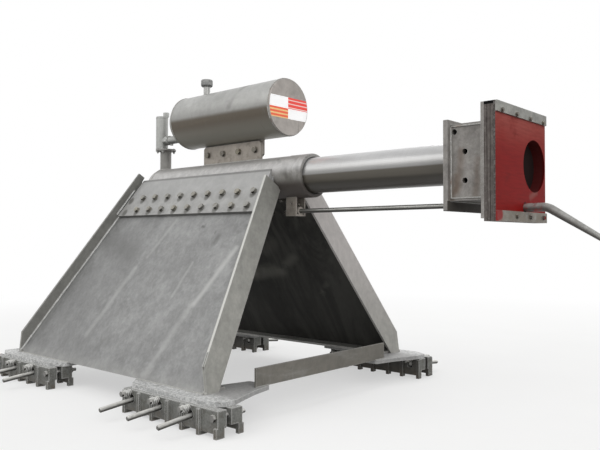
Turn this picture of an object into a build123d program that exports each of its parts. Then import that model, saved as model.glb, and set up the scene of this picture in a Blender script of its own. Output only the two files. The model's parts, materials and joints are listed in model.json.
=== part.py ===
"""Sliding hydraulic buffer stop for a railway track, clamped to both rails. Millimetres, +Z up.

+X runs along the track towards the oncoming train, +Y across it. The origin is on the plane of
the clamps' feet, below the middle of the overall length, on the centre line of the track.
The side that faces -Y is the near side. The far side is drawn. The near side frame mirrors it,
and the near clamps are the far clamps turned half a turn, as one casting fits both rails.
"""
import os
from math import asin, atan2, cos, degrees, hypot, radians, sin, tan

from build123d import *

os.makedirs("parts", exist_ok=True)

# Track
rail_line = 754          # centre of each rail head from the centre line of the track
rail_head_width = 73
rail_head_clearance = 1.5
rail_top = 45            # running surface above the feet of the clamps

# Overall places along the track
plate_front_foot = 205   # front end of a side plate's foot
foot_length = 1639       # length of a side plate along its foot
clamp_front_reach = 195  # the near front clamp starts this far ahead of the side plates
clamp_rear_reach = 146   # and the far rear clamp ends this far behind them
clamp_stagger = 24       # the clamp across the track from each of these stands further in

# Rail clamps
clamp_length = 640
cheek_gap = 26           # open slot above the rail head
cheek_gap_offset = 15    # middle of the slot, outside the centre of the rail head
outer_cheek = 46
inner_cheek = 60
cheek_top = 110
cheek_bottom = 16
cheek_round = 5
rib_depth = 8
rib_width = 18
rib_offset = 54          # ribs on each side of a clamp rod
rib_top_gap = 6          # the ribs stop this far below the top of the cheek
end_rib_height = 42      # low rib at the end that has the end bolt

# Clamp rods: a row of long plain rods that lie loosely in wide holes through both cheeks
rod_count = 3
rod_plain_inset = 64     # last rod from the end of the clamp that has no end bolt
rod_bolt_inset = 168     # first rod from the end that has it
rod_height = 72          # middle of the holes
rod_radius = 11
rod_hole_radius = 18
rod_clearance = 0.3
rod_tail = 164           # outside the face of the outer cheek
rod_inner_setback = 5    # its inner end stays this far inside the hole
tip_chamfer = 3

# Sprung bolts: one above each rod, with a stack of spring washers outside
sprung_bolt_height = 97
sprung_bolt_offset = 10  # along the track from its rod
sprung_bolt_radius = 7
sprung_bolt_inner_tail = 46
spring_count = 4
spring_pitch = 10
spring_radius = 15
spring_waist = 8.5
spring_rim = 3
small_nut_flats = 22
small_nut_length = 11

# End bolts: one at the end of each clamp
end_bolt_inset = 24
end_bolt_height = 80
end_bolt_radius = 8
end_bolt_flats = 26
end_bolt_head = 12
end_nut_length = 13
end_bolt_inner_tail = 20

# Base plates
base_thickness = 20
base_setback = 22        # outer edge inside the face of the outer cheek
base_step_in = 56        # inner edge inside the face of the inner cheek
base_rear_reach = 40     # past the end of the clamp that has no nose
base_nose_gap = 33       # the nose ends this far short of the clamp's other end
base_corner = 70         # cut corner at the rear
nose_corner = 80         # cut corner of the nose, along the clamp
nose_corner_width = 38
base_round = 16
tongue_reach = 285       # inner end of the tongue from the face of the inner cheek
tongue_ahead = 103       # front edge of the tongue ahead of the side plate's foot
tongue_length = 158
tongue_shoulder = 158    # where its front edge begins, from the face of the inner cheek
tongue_taper = 29        # the tongue narrows on its front edge
tongue_root_taper = 58   # and on its rear edge

# Side frames
lean = 32.4              # the side plates lean inwards by this many degrees
foot_line = 730          # outer face of a side plate at its foot
plate_thickness = 12
front_edge_rake = 9.6    # degrees, in the plane of the side plate
rear_edge_rake = 14.5
flange_thickness = 14
flange_proud = 62        # outside the side plate's outer face
flange_inward = 62       # inside the side plate's outer face
front_flange_drop = 38   # its top below the ram's axis, along the slope
rear_flange_rise = 57    # its top above the ram's axis, along the slope
foot_bar_thickness = 12
foot_bar_width = 110

# Crossbars
crossbar_ahead = 64      # ahead of the side plate's foot
crossbar_thickness = 10
crossbar_height = 85
crossbar_seat = 83       # length that stands on each tongue

# Cylinder housing
housing_radius = 110
housing_bore = 98
housing_proud = 50       # ahead of the side plates' front edges, at the height of its axis
housing_length = 1100
housing_dome_depth = 106
collar_length = 132
collar_radius = 111.5
collar_recess = 5        # open ring around the ram in the collar's front face
collar_recess_depth = 16
collar_round = 6
weld_gap = 0.3

# Saddle plates
saddle_thickness = 20
saddle_below_axis = 230  # along the slope of the side plate
saddle_above_axis = 33
saddle_front_gap = 12
saddle_rear_gap = 20

# Ram and guide rod
ram_radius = 90
ram_wall = 14
ram_clearance = 0.3
piston_radius = 97.5
piston_length = 40
stroke = 800
stroke_margin = 46       # left between the collar and the head at the end of the stroke
guide_rod_radius = 11.5
guide_rod_drop = 178     # below the ram's axis
guide_rod_tail = 12
guide_clearance = 0.3

# Guide bracket
bracket_setback = 30     # rear face of the bracket behind the housing's front end
bracket_length = 69
bracket_half = 36
bracket_wall = 8
bracket_depth = 26       # underside below the guide rod's axis
bush_radius = 22
bracket_hole_radius = 5
bracket_hole_rise = 38   # above the guide rod's axis

# Buffer head
head_drop = 26           # middle of the face below the ram's axis
back_plate_thickness = 19
back_plate_half_width = 200
back_plate_half_height = 183
back_plate_round = 4
box_length = 161
box_half_width = 176
box_rise = 165           # top and bottom from the middle of the face
box_fall = 142
box_wall = 18
front_plate_thickness = 13
front_plate_fall = 216   # its lower edge below the middle of the face
face_half_width = 236
face_half_height = 227
backing_thickness = 39
layer_count = 3
layer_gap = 2
layer_groove = 5
pad_thickness = 8
strip_thickness = 7
strip_height = 41
coupler_hole_radius = 108
coupler_hole_y = 122
coupler_hole_rise = 5
web_hole_radius = 11.5
web_holes = ((18, 133), (64, 52), (64, -63))   # ahead of the back plate, above the middle

# Bent bar
bar_radius = 17.5
bar_tip_radius = 11.5
bar_reach = 295          # tip ahead of the face
bar_hole_radius = 21
bar_y = 30
bar_drop = 168           # below the middle of the face
bar_straight = 84        # ahead of the face
bar_drop_angle = 31.3
bar_bend_radius = 70

# Reservoir
reservoir_rise = 370     # above the ram's axis
reservoir_radius = 152
reservoir_wall = 8
reservoir_setback = 45   # its front end behind that of the housing
reservoir_length = 800
end_disc_thickness = 12
end_disc_inset = 4
reservoir_dome_depth = 105
neck_from_rear = 144
neck_radius = 19
neck_height = 51
cap_radius = 33
cap_height = 40
cap_skirt_radius = 29
cap_groove = 4

# Lugs between housing and reservoir
lug_thickness = 16
lug_from_front = 191     # behind the front end of the reservoir
lug_length = 467
lug_split_y = -2
lug_top_gap = 7          # from the housing's lug to the reservoir
lug_foot_gap = 17        # from the reservoir's lug to the housing
lug_corner = 12

# Valve and its stand pipe
pipe_ahead = 10          # ahead of the rear end of the housing
pipe_radius = 34
pipe_rise = 235          # top of the pipe above the ram's axis
pipe_flange_radius = 62
pipe_flange_thickness = 10
valve_offset = 40        # behind the pipe
valve_radius = 37
valve_height = 211
plug_offset = 18         # ahead of the middle of the valve, and to the far side of it
plug_radius = 19
plug_height = 26
elbow_radius = 24        # round branch from the valve to the reservoir's dished end
elbow_rise = 55          # above the foot of the valve

# Cutting shapes run this far past what they cut
past = 20

# Values that follow from the sizes above
base_top = cheek_top + base_thickness
slope_tan = tan(radians(lean))
slope_cos = cos(radians(lean))
slope_sin = sin(radians(lean))
front_rake_tan = tan(radians(front_edge_rake))
rear_rake_tan = tan(radians(rear_edge_rake))
plate_rear_foot = plate_front_foot - foot_length
front_end = plate_front_foot + clamp_front_reach
rear_end = plate_rear_foot - clamp_rear_reach
middle_x = (front_end + rear_end) / 2
clamp_middle = front_end - clamp_stagger - clamp_length / 2
rear_clamp_middle = rear_end + clamp_length / 2
slot_half = rail_head_width / 2 + rail_head_clearance
outer_cheek_inside = rail_line + cheek_gap_offset + cheek_gap / 2
inner_cheek_outside = outer_cheek_inside - cheek_gap
outer_face = outer_cheek_inside + outer_cheek
inner_face = inner_cheek_outside - inner_cheek

# The side plates' outer faces come in to the width of the housing at the height of the ram's axis
housing_z = base_top + (foot_line - housing_radius) / slope_tan
axis_slope = (housing_z - base_top) / slope_cos
saddle_bottom = axis_slope - saddle_below_axis
saddle_top = axis_slope + saddle_above_axis
housing_front = plate_front_foot - axis_slope * front_rake_tan + housing_proud
housing_rear = housing_front - housing_length
collar_front = housing_front + collar_length
guide_rod_z = housing_z - guide_rod_drop
bracket_rear = housing_front - bracket_setback
bracket_bottom = guide_rod_z - bracket_depth
ram_rear = housing_front - ram_clearance - piston_length
back_plate_x = collar_front + stroke + stroke_margin
box_rear = back_plate_x + back_plate_thickness
front_plate_x = box_rear + box_length
stack_rear = front_plate_x + front_plate_thickness
pad_rear = stack_rear + backing_thickness
strips_rear = pad_rear + pad_thickness
face_x = strips_rear + strip_thickness
head_z = housing_z - head_drop
bar_z = head_z - bar_drop
reservoir_z = housing_z + reservoir_rise
reservoir_front = housing_front - reservoir_setback
reservoir_rear = reservoir_front - reservoir_length
neck_x = reservoir_rear + neck_from_rear
neck_top = reservoir_z + reservoir_radius + neck_height
lug_middle = reservoir_front - lug_from_front - lug_length / 2
pipe_x = housing_rear + pipe_ahead
pipe_top = housing_z + pipe_rise
valve_x = pipe_x - valve_offset

# Outer face of the far side plate: local x along the track, y up the slope, z inwards
far_slope = Plane(origin=(0, foot_line, base_top), x_dir=(1, 0, 0), z_dir=(0, -slope_cos, -slope_sin))


def front_edge(height):
    """Place of the side plate's front edge at a height along its slope."""
    return plate_front_foot - height * front_rake_tan


def rear_edge(height):
    """Place of the side plate's rear edge at a height along its slope."""
    return plate_rear_foot + height * rear_rake_tan


def keep(piece, name):
    """Label a finished piece and write it."""
    piece.label = name
    export_step(piece, f"parts/{name}.step")
    print(f"{name}: {len(piece.solids())} solids, {piece.volume / 1e9:.5f} m3")


def housing_cut():
    """Cut the room of the cylinder housing out of the piece being made."""
    with BuildSketch(Plane.YZ.offset(rear_end)) as room:
        with Locations((0, housing_z)):
            Circle(housing_radius + weld_gap)
    extrude(room.sketch, amount=front_end - rear_end, mode=Mode.SUBTRACT)


def dished_end(x, z, radius, depth, mode):
    """A solid end to a round vessel, bulging to the rear of x by its depth."""
    half_chord = hypot(depth, radius) / 2
    ball = 2 * half_chord**2 / depth
    middle_angle = asin(half_chord / ball)
    middle = (x - depth + ball * (1 - cos(middle_angle)), z + ball * sin(middle_angle))
    with BuildSketch(Plane.XZ) as outline:
        with BuildLine():
            Line((x, z), (x, z + radius))
            ThreePointArc((x, z + radius), middle, (x - depth, z))
            Line((x - depth, z), (x, z))
        make_face()
    revolve(outline.sketch, axis=Axis((0, 0, z), (1, 0, 0)), mode=mode)


# Side plates: a raked panel on each side, cut level at the foot and fitted under the housing
with BuildPart() as far_side_plate:
    with BuildSketch(far_slope):
        with BuildLine():
            Polyline(
                (plate_rear_foot, -past),
                (plate_front_foot, -past),
                (plate_front_foot, 0),
                (front_edge(saddle_top), saddle_top),
                (rear_edge(saddle_top), saddle_top),
                (plate_rear_foot, 0),
                close=True,
            )
        make_face()
    extrude(amount=plate_thickness)
    split(bisect_by=Plane.XY.offset(base_top), keep=Keep.TOP)
    split(bisect_by=Plane.XY.offset(housing_z), keep=Keep.BOTTOM)
    housing_cut()


# Flanges: flat bars across the raked edges of each side plate, trimmed upright at the foot
def raked_flange(edge, outward, top):
    """A bar beside the raked edge, from below the foot to its square top end."""
    below = -flange_proud * slope_tan - past
    with BuildSketch(far_slope.offset(-flange_proud)) as bar:
        with BuildLine():
            Polyline(
                (edge(below), below),
                (edge(below) + outward, below),
                (edge(top) + outward, top),
                (edge(top), top),
                close=True,
            )
        make_face()
    extrude(bar.sketch, amount=flange_proud + flange_inward)
    split(bisect_by=Plane.XY.offset(base_top), keep=Keep.TOP)
    split(bisect_by=Plane.XZ.offset(-foot_line), keep=Keep.TOP)
    housing_cut()


with BuildPart() as far_front_flange:
    raked_flange(front_edge, flange_thickness, axis_slope - front_flange_drop)

with BuildPart() as far_rear_flange:
    raked_flange(rear_edge, -flange_thickness, axis_slope + rear_flange_rise)

# Foot bars: a flat bar along the inside of each side plate's foot
with BuildPart() as far_foot_bar:
    inside_foot = foot_line - plate_thickness / slope_cos
    flange_reach = (foot_bar_thickness + flange_inward * slope_sin) / slope_cos
    foot_bar_rear = rear_edge(flange_reach) + weld_gap
    with BuildSketch(Plane.YZ.offset(foot_bar_rear)):
        with BuildLine():
            Polyline(
                (inside_foot - foot_bar_width, base_top),
                (inside_foot, base_top),
                (inside_foot - foot_bar_thickness * slope_tan, base_top + foot_bar_thickness),
                (inside_foot - foot_bar_width, base_top + foot_bar_thickness),
                close=True,
            )
        make_face()
    extrude(amount=front_edge(flange_reach) - weld_gap - foot_bar_rear)

# Saddle plates: heavy plates bolted over the upper edge of each side plate, against the housing
with BuildPart() as far_saddle_plate:
    with BuildSketch(far_slope):
        with BuildLine():
            Polyline(
                (rear_edge(saddle_bottom) + saddle_rear_gap, saddle_bottom),
                (front_edge(saddle_bottom) - saddle_front_gap, saddle_bottom),
                (front_edge(saddle_top) - saddle_front_gap, saddle_top),
                (rear_edge(saddle_top) + saddle_rear_gap, saddle_top),
                close=True,
            )
        make_face()
    extrude(amount=-saddle_thickness)
    housing_cut()

# Cylinder housing: a thick tube, open in front for the ram
with BuildPart() as cylinder_housing:
    with BuildSketch(Plane.YZ.offset(housing_rear)):
        with Locations((0, housing_z)):
            Circle(housing_radius)
            Circle(housing_bore, mode=Mode.SUBTRACT)
    extrude(amount=housing_length)

# Rear end of the housing: a solid dished end
with BuildPart() as housing_dome:
    dished_end(housing_rear, housing_z, housing_radius, housing_dome_depth, Mode.ADD)

# Collar: the gland ring that the ram slides through, with an open ring in its front face
with BuildPart() as housing_collar:
    with BuildSketch(Plane.YZ.offset(housing_front)):
        with Locations((0, housing_z)):
            Circle(collar_radius)
            Circle(ram_radius + ram_clearance, mode=Mode.SUBTRACT)
    extrude(amount=collar_length)
    with BuildSketch(Plane.YZ.offset(collar_front)):
        with Locations((0, housing_z)):
            Circle(ram_radius + collar_recess)
    extrude(amount=-collar_recess_depth, mode=Mode.SUBTRACT)
    front_rim = housing_collar.faces().sort_by(Axis.X)[-1].outer_wire().edges()
    fillet(front_rim, radius=collar_round)

# Ram: a polished tube with a closed piston end
with BuildPart() as ram_tube:
    with BuildSketch(Plane.YZ.offset(ram_rear)):
        with Locations((0, housing_z)):
            Circle(ram_radius)
            Circle(ram_radius - ram_wall, mode=Mode.SUBTRACT)
    extrude(amount=back_plate_x - ram_rear)
    with BuildSketch(Plane.YZ.offset(ram_rear)):
        with Locations((0, housing_z)):
            Circle(piston_radius)
    extrude(amount=piston_length)

# Guide rod: keeps the head from turning
with BuildPart() as guide_rod:
    with BuildSketch(Plane.YZ.offset(bracket_rear - guide_rod_tail)):
        with Locations((0, guide_rod_z)):
            Circle(guide_rod_radius)
    extrude(amount=back_plate_x - bracket_rear + guide_rod_tail)
    chamfer(guide_rod.faces().sort_by(Axis.X)[0].edges(), length=tip_chamfer)

# Guide bracket: a channel under the collar with a bush for the guide rod
with BuildPart() as guide_bracket:
    with BuildSketch(Plane.YZ.offset(bracket_rear)):
        with Locations((0, bracket_bottom)):
            Rectangle(2 * bracket_half, housing_z - bracket_bottom, align=(Align.CENTER, Align.MIN))
        with Locations((0, bracket_bottom + bracket_wall)):
            channel = 2 * (bracket_half - bracket_wall)
            Rectangle(channel, housing_z, align=(Align.CENTER, Align.MIN), mode=Mode.SUBTRACT)
        with Locations((0, guide_rod_z)):
            Circle(bush_radius)
        with Locations((0, guide_rod_z)):
            Circle(guide_rod_radius + guide_clearance, mode=Mode.SUBTRACT)
        with Locations((0, housing_z)):
            Circle(collar_radius + weld_gap, mode=Mode.SUBTRACT)
    extrude(amount=bracket_length)
    with BuildSketch(Plane.XZ.offset(-bracket_half - past)):
        with Locations((bracket_rear + bracket_length / 2, guide_rod_z + bracket_hole_rise)):
            Circle(bracket_hole_radius)
    extrude(amount=2 * (bracket_half + past), mode=Mode.SUBTRACT)

# Head: back plate, welded box, front plate, laminated backing, red pad and its strips
with BuildPart() as head_back_plate:
    with BuildSketch(Plane.YZ.offset(back_plate_x)):
        with Locations((0, head_z)):
            RectangleRounded(2 * back_plate_half_width, 2 * back_plate_half_height, back_plate_round)
    extrude(amount=back_plate_thickness)

with BuildPart() as head_box:
    with BuildSketch(Plane.YZ.offset(box_rear)):
        with Locations((0, head_z + (box_rise - box_fall) / 2)):
            Rectangle(2 * box_half_width, box_rise + box_fall)
            offset(amount=-box_wall, kind=Kind.INTERSECTION, mode=Mode.SUBTRACT)
    extrude(amount=box_length)
    with BuildSketch(Plane.XZ.offset(-box_half_width - past)):
        with Locations(*[(box_rear + ahead, head_z + above) for ahead, above in web_holes]):
            Circle(web_hole_radius)
    extrude(amount=2 * (box_half_width + past), mode=Mode.SUBTRACT)

with BuildPart() as head_front_plate:
    with BuildSketch(Plane.YZ.offset(front_plate_x)):
        with Locations((0, head_z + face_half_height)):
            front_plate_height = face_half_height + front_plate_fall
            Rectangle(2 * face_half_width, front_plate_height, align=(Align.CENTER, Align.MAX))
    extrude(amount=front_plate_thickness)


def face_panel():
    """The head's face outline with the coupler hole and the bent bar's hole."""
    with Locations((0, head_z)):
        Rectangle(2 * face_half_width, 2 * face_half_height)
    with Locations((coupler_hole_y, head_z + coupler_hole_rise)):
        Circle(coupler_hole_radius, mode=Mode.SUBTRACT)
    with Locations((bar_y, bar_z)):
        Circle(bar_hole_radius, mode=Mode.SUBTRACT)


with BuildPart() as pad_backing:
    with BuildSketch(Plane.YZ.offset(stack_rear)):
        face_panel()
    extrude(amount=backing_thickness)
    layer = backing_thickness / layer_count
    for i in range(1, layer_count):
        with BuildSketch(Plane.YZ.offset(stack_rear + i * layer - layer_gap / 2)):
            with Locations((0, head_z)):
                Rectangle(2 * (face_half_width + past), 2 * (face_half_height + past))
                inner_width = 2 * (face_half_width - layer_groove)
                inner_height = 2 * (face_half_height - layer_groove)
                Rectangle(inner_width, inner_height, mode=Mode.SUBTRACT)
        extrude(amount=layer_gap, mode=Mode.SUBTRACT)

with BuildPart() as striking_pad:
    with BuildSketch(Plane.YZ.offset(pad_rear)):
        face_panel()
    extrude(amount=pad_thickness)

with BuildPart() as pad_strips:
    with BuildSketch(Plane.YZ.offset(strips_rear)):
        strip_place = face_half_height - strip_height / 2
        with Locations((0, head_z + strip_place), (0, head_z - strip_place)):
            Rectangle(2 * face_half_width, strip_height)
    extrude(amount=strip_thickness)

# Bent bar: a round bar that sticks out of the lower face, turns downwards and tapers to its end
with BuildPart() as bent_bar:
    bend_x = face_x + bar_straight
    bend_tangent = bar_bend_radius * tan(radians(bar_drop_angle / 2))
    drop_cos = cos(radians(bar_drop_angle))
    drop_sin = sin(radians(bar_drop_angle))
    with BuildLine(Plane.XZ.offset(-bar_y)) as bar_line:
        root = Line((stack_rear, bar_z), (bend_x - bend_tangent, bar_z))
        JernArc(start=root @ 1, tangent=root % 1, radius=bar_bend_radius, arc_size=-bar_drop_angle)
    with BuildSketch(Plane.YZ.offset(stack_rear)):
        with Locations((bar_y, bar_z)):
            Circle(bar_radius)
    sweep(path=bar_line.line)
    bend_end = (bend_x + bend_tangent * drop_cos, bar_y, bar_z - bend_tangent * drop_sin)
    taper_length = (face_x + bar_reach - bar_tip_radius * drop_sin - bend_end[0]) / drop_cos
    taper_angle = degrees(atan2(bar_radius - bar_tip_radius, taper_length))
    with BuildSketch(Plane(origin=bend_end, z_dir=(drop_cos, 0, -drop_sin))):
        Circle(bar_radius)
    extrude(amount=taper_length, taper=taper_angle)

# Reservoir: a closed shell with a flat front end, a dished rear end and a filler
with BuildPart() as reservoir_shell:
    with BuildSketch(Plane.YZ.offset(reservoir_rear)):
        with Locations((0, reservoir_z)):
            Circle(reservoir_radius)
            Circle(reservoir_radius - reservoir_wall, mode=Mode.SUBTRACT)
    extrude(amount=reservoir_length - end_disc_thickness)

with BuildPart() as reservoir_front_end:
    with BuildSketch(Plane.YZ.offset(reservoir_front - end_disc_thickness)):
        with Locations((0, reservoir_z)):
            Circle(reservoir_radius - end_disc_inset)
    extrude(amount=end_disc_thickness)

with BuildPart() as reservoir_dome_end:
    dished_end(reservoir_rear, reservoir_z, reservoir_radius, reservoir_dome_depth, Mode.ADD)

with BuildPart() as filler_neck:
    with BuildSketch(Plane.XY.offset(reservoir_z)):
        with Locations((neck_x, 0)):
            Circle(neck_radius)
    extrude(amount=neck_top - reservoir_z)
    with BuildSketch(Plane.YZ.offset(neck_x - neck_radius - past)):
        with Locations((0, reservoir_z)):
            Circle(reservoir_radius + weld_gap)
    extrude(amount=2 * (neck_radius + past), mode=Mode.SUBTRACT)

with BuildPart() as filler_cap:
    with BuildSketch(Plane.XY.offset(neck_top)):
        with Locations((neck_x, 0)):
            Circle(cap_skirt_radius)
    extrude(amount=cap_height)
    with BuildSketch(Plane.XY.offset(neck_top + cap_groove)):
        with Locations((neck_x, 0)):
            Circle(cap_radius)
    extrude(amount=cap_height - cap_groove)
    fillet(filler_cap.faces().sort_by(Axis.Z)[-1].edges(), radius=tip_chamfer)


# Lugs: two lapped plates, one welded to the housing and one to the reservoir
lug_plane = Plane.XZ.offset(-lug_split_y)
with BuildPart() as housing_lug:
    with BuildSketch(lug_plane) as housing_lug_sheet:
        lug_top = reservoir_z - reservoir_radius - lug_top_gap
        with Locations((lug_middle, housing_z)):
            Rectangle(lug_length, lug_top - housing_z, align=(Align.CENTER, Align.MIN))
        chamfer(housing_lug_sheet.vertices().group_by(Axis.Y)[-1], length=lug_corner)
    extrude(amount=lug_thickness)
    housing_cut()

with BuildPart() as reservoir_lug:
    with BuildSketch(lug_plane) as reservoir_lug_sheet:
        lug_bottom = housing_z + housing_radius + lug_foot_gap
        with Locations((lug_middle, lug_bottom)):
            Rectangle(lug_length, reservoir_z - lug_bottom, align=(Align.CENTER, Align.MIN))
        chamfer(reservoir_lug_sheet.vertices().group_by(Axis.Y)[0], length=lug_corner)
    extrude(amount=-lug_thickness)
    with BuildSketch(Plane.YZ.offset(reservoir_rear)):
        with Locations((0, reservoir_z)):
            Circle(reservoir_radius + weld_gap)
    extrude(amount=reservoir_length, mode=Mode.SUBTRACT)

# Valve on its stand pipe behind the reservoir
with BuildPart() as stand_pipe:
    with BuildSketch(Plane.XY.offset(housing_z)):
        with Locations((pipe_x, 0)):
            Circle(pipe_radius)
    extrude(amount=pipe_rise)
    with BuildSketch(Plane.XY.offset(pipe_top)):
        with Locations((pipe_x, 0)):
            Circle(pipe_flange_radius)
    extrude(amount=-pipe_flange_thickness)
    housing_cut()

with BuildPart() as valve_body:
    with BuildSketch(Plane.XY.offset(pipe_top)):
        with Locations((valve_x, 0)):
            Circle(valve_radius)
    extrude(amount=valve_height)
    fillet(valve_body.faces().sort_by(Axis.Z)[-1].edges(), radius=tip_chamfer)
    with BuildSketch(Plane.XY.offset(pipe_top + valve_height)):
        with Locations((valve_x + plug_offset, plug_offset)):
            RegularPolygon(plug_radius, 6)
    extrude(amount=plug_height)
    with BuildSketch(Plane.YZ.offset(valve_x)):
        with Locations((0, pipe_top + elbow_rise)):
            Circle(elbow_radius)
    extrude(amount=reservoir_rear - valve_x)
    room_radius = reservoir_radius + weld_gap
    room_depth = reservoir_dome_depth + weld_gap
    dished_end(reservoir_rear, reservoir_z, room_radius, room_depth, Mode.SUBTRACT)


# Rail clamps: ribbed cheeks on both sides of the rail head, drawn in with rods and sprung bolts
def rod_row(middle):
    """Places of the far clamp's rods along the track."""
    first = middle - clamp_length / 2 + rod_bolt_inset
    pitch = (clamp_length - rod_bolt_inset - rod_plain_inset) / (rod_count - 1)
    return [first + i * pitch for i in range(rod_count)]


def rod_places(middle):
    """Centres of a far clamp's rods."""
    return [(x, rod_height) for x in rod_row(middle)]


def sprung_places(middle):
    """Centres of a far clamp's sprung bolts."""
    return [(x + sprung_bolt_offset, sprung_bolt_height) for x in rod_row(middle)]


def end_bolt_places(middle):
    """Centre of a far clamp's end bolt."""
    return [(middle - clamp_length / 2 + end_bolt_inset, end_bolt_height)]


def across_plane(y):
    """A plane across the track at y, whose extrusions run towards the centre line."""
    return Plane.XZ.offset(-y)


def cheek(middle, outward, gap_side, face):
    """A ribbed cheek along the rail, outside (outward is 1) or inside (-1) the rail head."""
    rods = rod_row(middle)
    bolt_end = middle - clamp_length / 2
    slot_side = rail_line + outward * slot_half
    with BuildSketch(Plane.YZ.offset(bolt_end)) as body:
        with BuildLine():
            Polyline(
                (gap_side, cheek_top),
                (face, cheek_top),
                (face, cheek_bottom),
                (slot_side, cheek_bottom),
                (slot_side, rail_top),
                (gap_side, rail_top),
                close=True,
            )
        make_face()
        face_corners = body.vertices().sort_by_distance((face, (cheek_top + cheek_bottom) / 2))[:2]
        fillet(face_corners, radius=cheek_round)
    extrude(body.sketch, amount=clamp_length)
    rib_face = face + outward * rib_depth
    rib_middle = (rib_face + slot_side) / 2
    rib_reach = abs(rib_face - slot_side)
    with BuildSketch(Plane.XY) as rib_row:
        with Locations(*[(x + side * rib_offset, rib_middle) for x in rods for side in (-1, 1)]):
            Rectangle(rib_width, rib_reach)
    extrude(rib_row.sketch, amount=cheek_top - rib_top_gap)
    with BuildSketch(Plane.XY) as end_rib:
        with Locations((bolt_end + rib_width / 2, rib_middle)):
            Rectangle(rib_width, rib_reach)
    extrude(end_rib.sketch, amount=end_rib_height)
    through = outer_face - inner_face + 2 * past
    hole_sets = (
        (rod_hole_radius, rod_places(middle)),
        (sprung_bolt_radius + rod_clearance, sprung_places(middle)),
        (end_bolt_radius + rod_clearance, end_bolt_places(middle)),
    )
    for radius, places in hole_sets:
        with BuildSketch(across_plane(outer_face + past)) as holes:
            with Locations(*places):
                Circle(radius)
        extrude(holes.sketch, amount=through, mode=Mode.SUBTRACT)


with BuildPart() as far_front_outer_cheek:
    cheek(clamp_middle, 1, outer_cheek_inside, outer_face)

with BuildPart() as far_rear_outer_cheek:
    cheek(rear_clamp_middle, 1, outer_cheek_inside, outer_face)

with BuildPart() as far_front_inner_cheek:
    cheek(clamp_middle, -1, inner_cheek_outside, inner_face)

with BuildPart() as far_rear_inner_cheek:
    cheek(rear_clamp_middle, -1, inner_cheek_outside, inner_face)


# Clamp rods, sprung bolts and end bolts
stack_end = outer_face + spring_count * spring_pitch
sprung_end = stack_end + small_nut_length


def spring_stack(x):
    """A stack of coned spring washers on a sprung bolt, against the outer cheek."""
    outline = [(x, outer_face), (x + spring_waist, outer_face)]
    for i in range(spring_count):
        crest = outer_face + (i + 0.5) * spring_pitch
        outline.append((x + spring_radius, crest - spring_rim / 2))
        outline.append((x + spring_radius, crest + spring_rim / 2))
        outline.append((x + spring_waist, crest + spring_pitch / 2))
    outline.append((x, stack_end))
    with BuildSketch(Plane.XY.offset(sprung_bolt_height)) as half_stack:
        with BuildLine():
            Polyline(*outline, close=True)
        make_face()
    revolve(half_stack.sketch, axis=Axis((x, 0, sprung_bolt_height), (0, 1, 0)))


def loose_rod(x):
    """A rod that hangs outwards, between the outer hole's lower lip and the inner hole's upper lip."""
    grip = outer_face - inner_face
    room = 2 * (rod_hole_radius - rod_clearance)
    tilt = atan2(room, grip) - asin(2 * rod_radius / hypot(room, grip))
    rest_z = rod_height - rod_hole_radius + rod_clearance + rod_radius / cos(tilt)
    inner_length = (grip - rod_inner_setback) / cos(tilt)
    tip = (x, outer_face + rod_tail * cos(tilt), rest_z - rod_tail * sin(tilt))
    tip_plane = Plane(origin=tip, x_dir=(1, 0, 0), z_dir=(0, -cos(tilt), sin(tilt)))
    with BuildSketch(tip_plane) as rod_end:
        Circle(rod_radius)
    extrude(rod_end.sketch, amount=rod_tail + inner_length)


def bar_row(places, radius, outer_y, inner_y):
    """Round bars across the track between two distances from the centre line."""
    with BuildSketch(across_plane(outer_y)) as ends:
        with Locations(*places):
            Circle(radius)
    extrude(ends.sketch, amount=outer_y - inner_y)


def nut_row(places, flats, outer_y, length):
    """Hexagon nuts or heads across the track, inwards from a distance from the centre line."""
    with BuildSketch(across_plane(outer_y)) as nuts:
        with Locations(*places):
            RegularPolygon(flats / 2, 6, major_radius=False)
    extrude(nuts.sketch, amount=length)


with BuildPart() as far_clamp_rods:
    for middle in (clamp_middle, rear_clamp_middle):
        for x in rod_row(middle):
            loose_rod(x)
        sprung = sprung_places(middle)
        sprung_tip = inner_face - small_nut_length - sprung_bolt_inner_tail
        bar_row(sprung, sprung_bolt_radius, sprung_end, sprung_tip)
        nut_row(sprung, small_nut_flats, sprung_end, small_nut_length)
        nut_row(sprung, small_nut_flats, inner_face, small_nut_length)
        for x, z in sprung:
            spring_stack(x)
        end_bolt = end_bolt_places(middle)
        end_tip = inner_face - end_nut_length - end_bolt_inner_tail
        bar_row(end_bolt, end_bolt_radius, outer_face, end_tip)
        nut_row(end_bolt, end_bolt_flats, outer_face + end_bolt_head, end_bolt_head)
        nut_row(end_bolt, end_bolt_flats, inner_face, end_nut_length)
    tips = far_clamp_rods.faces().group_by(Axis.Y)[-1].edges()
    chamfer(tips, length=tip_chamfer)

# Base plates: on the clamps, under the side frames, with a tongue inwards for the crossbar
base_outside = outer_face - base_setback
base_inside = inner_face - base_step_in
base_rear = front_end - clamp_length - base_rear_reach
base_nose = front_end - base_nose_gap
tongue_front = plate_front_foot + tongue_ahead
tongue_rear = tongue_front - tongue_length
tongue_end = inner_face - tongue_reach

with BuildPart() as far_front_base_plate:
    with BuildSketch(Plane.XY.offset(cheek_top)) as base_sheet:
        with BuildLine():
            Polyline(
                (base_rear, base_outside - base_corner),
                (base_rear + base_corner, base_outside),
                (base_nose - nose_corner, base_outside),
                (base_nose, base_outside - nose_corner_width),
                (base_nose, inner_face),
                (tongue_front, inner_face - tongue_shoulder),
                (tongue_front - tongue_taper, tongue_end),
                (tongue_rear, tongue_end),
                (tongue_rear - tongue_root_taper, base_inside),
                (base_rear, base_inside),
                close=True,
            )
        make_face()
        fillet(base_sheet.vertices(), radius=base_round)
    extrude(amount=base_thickness)

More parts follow.
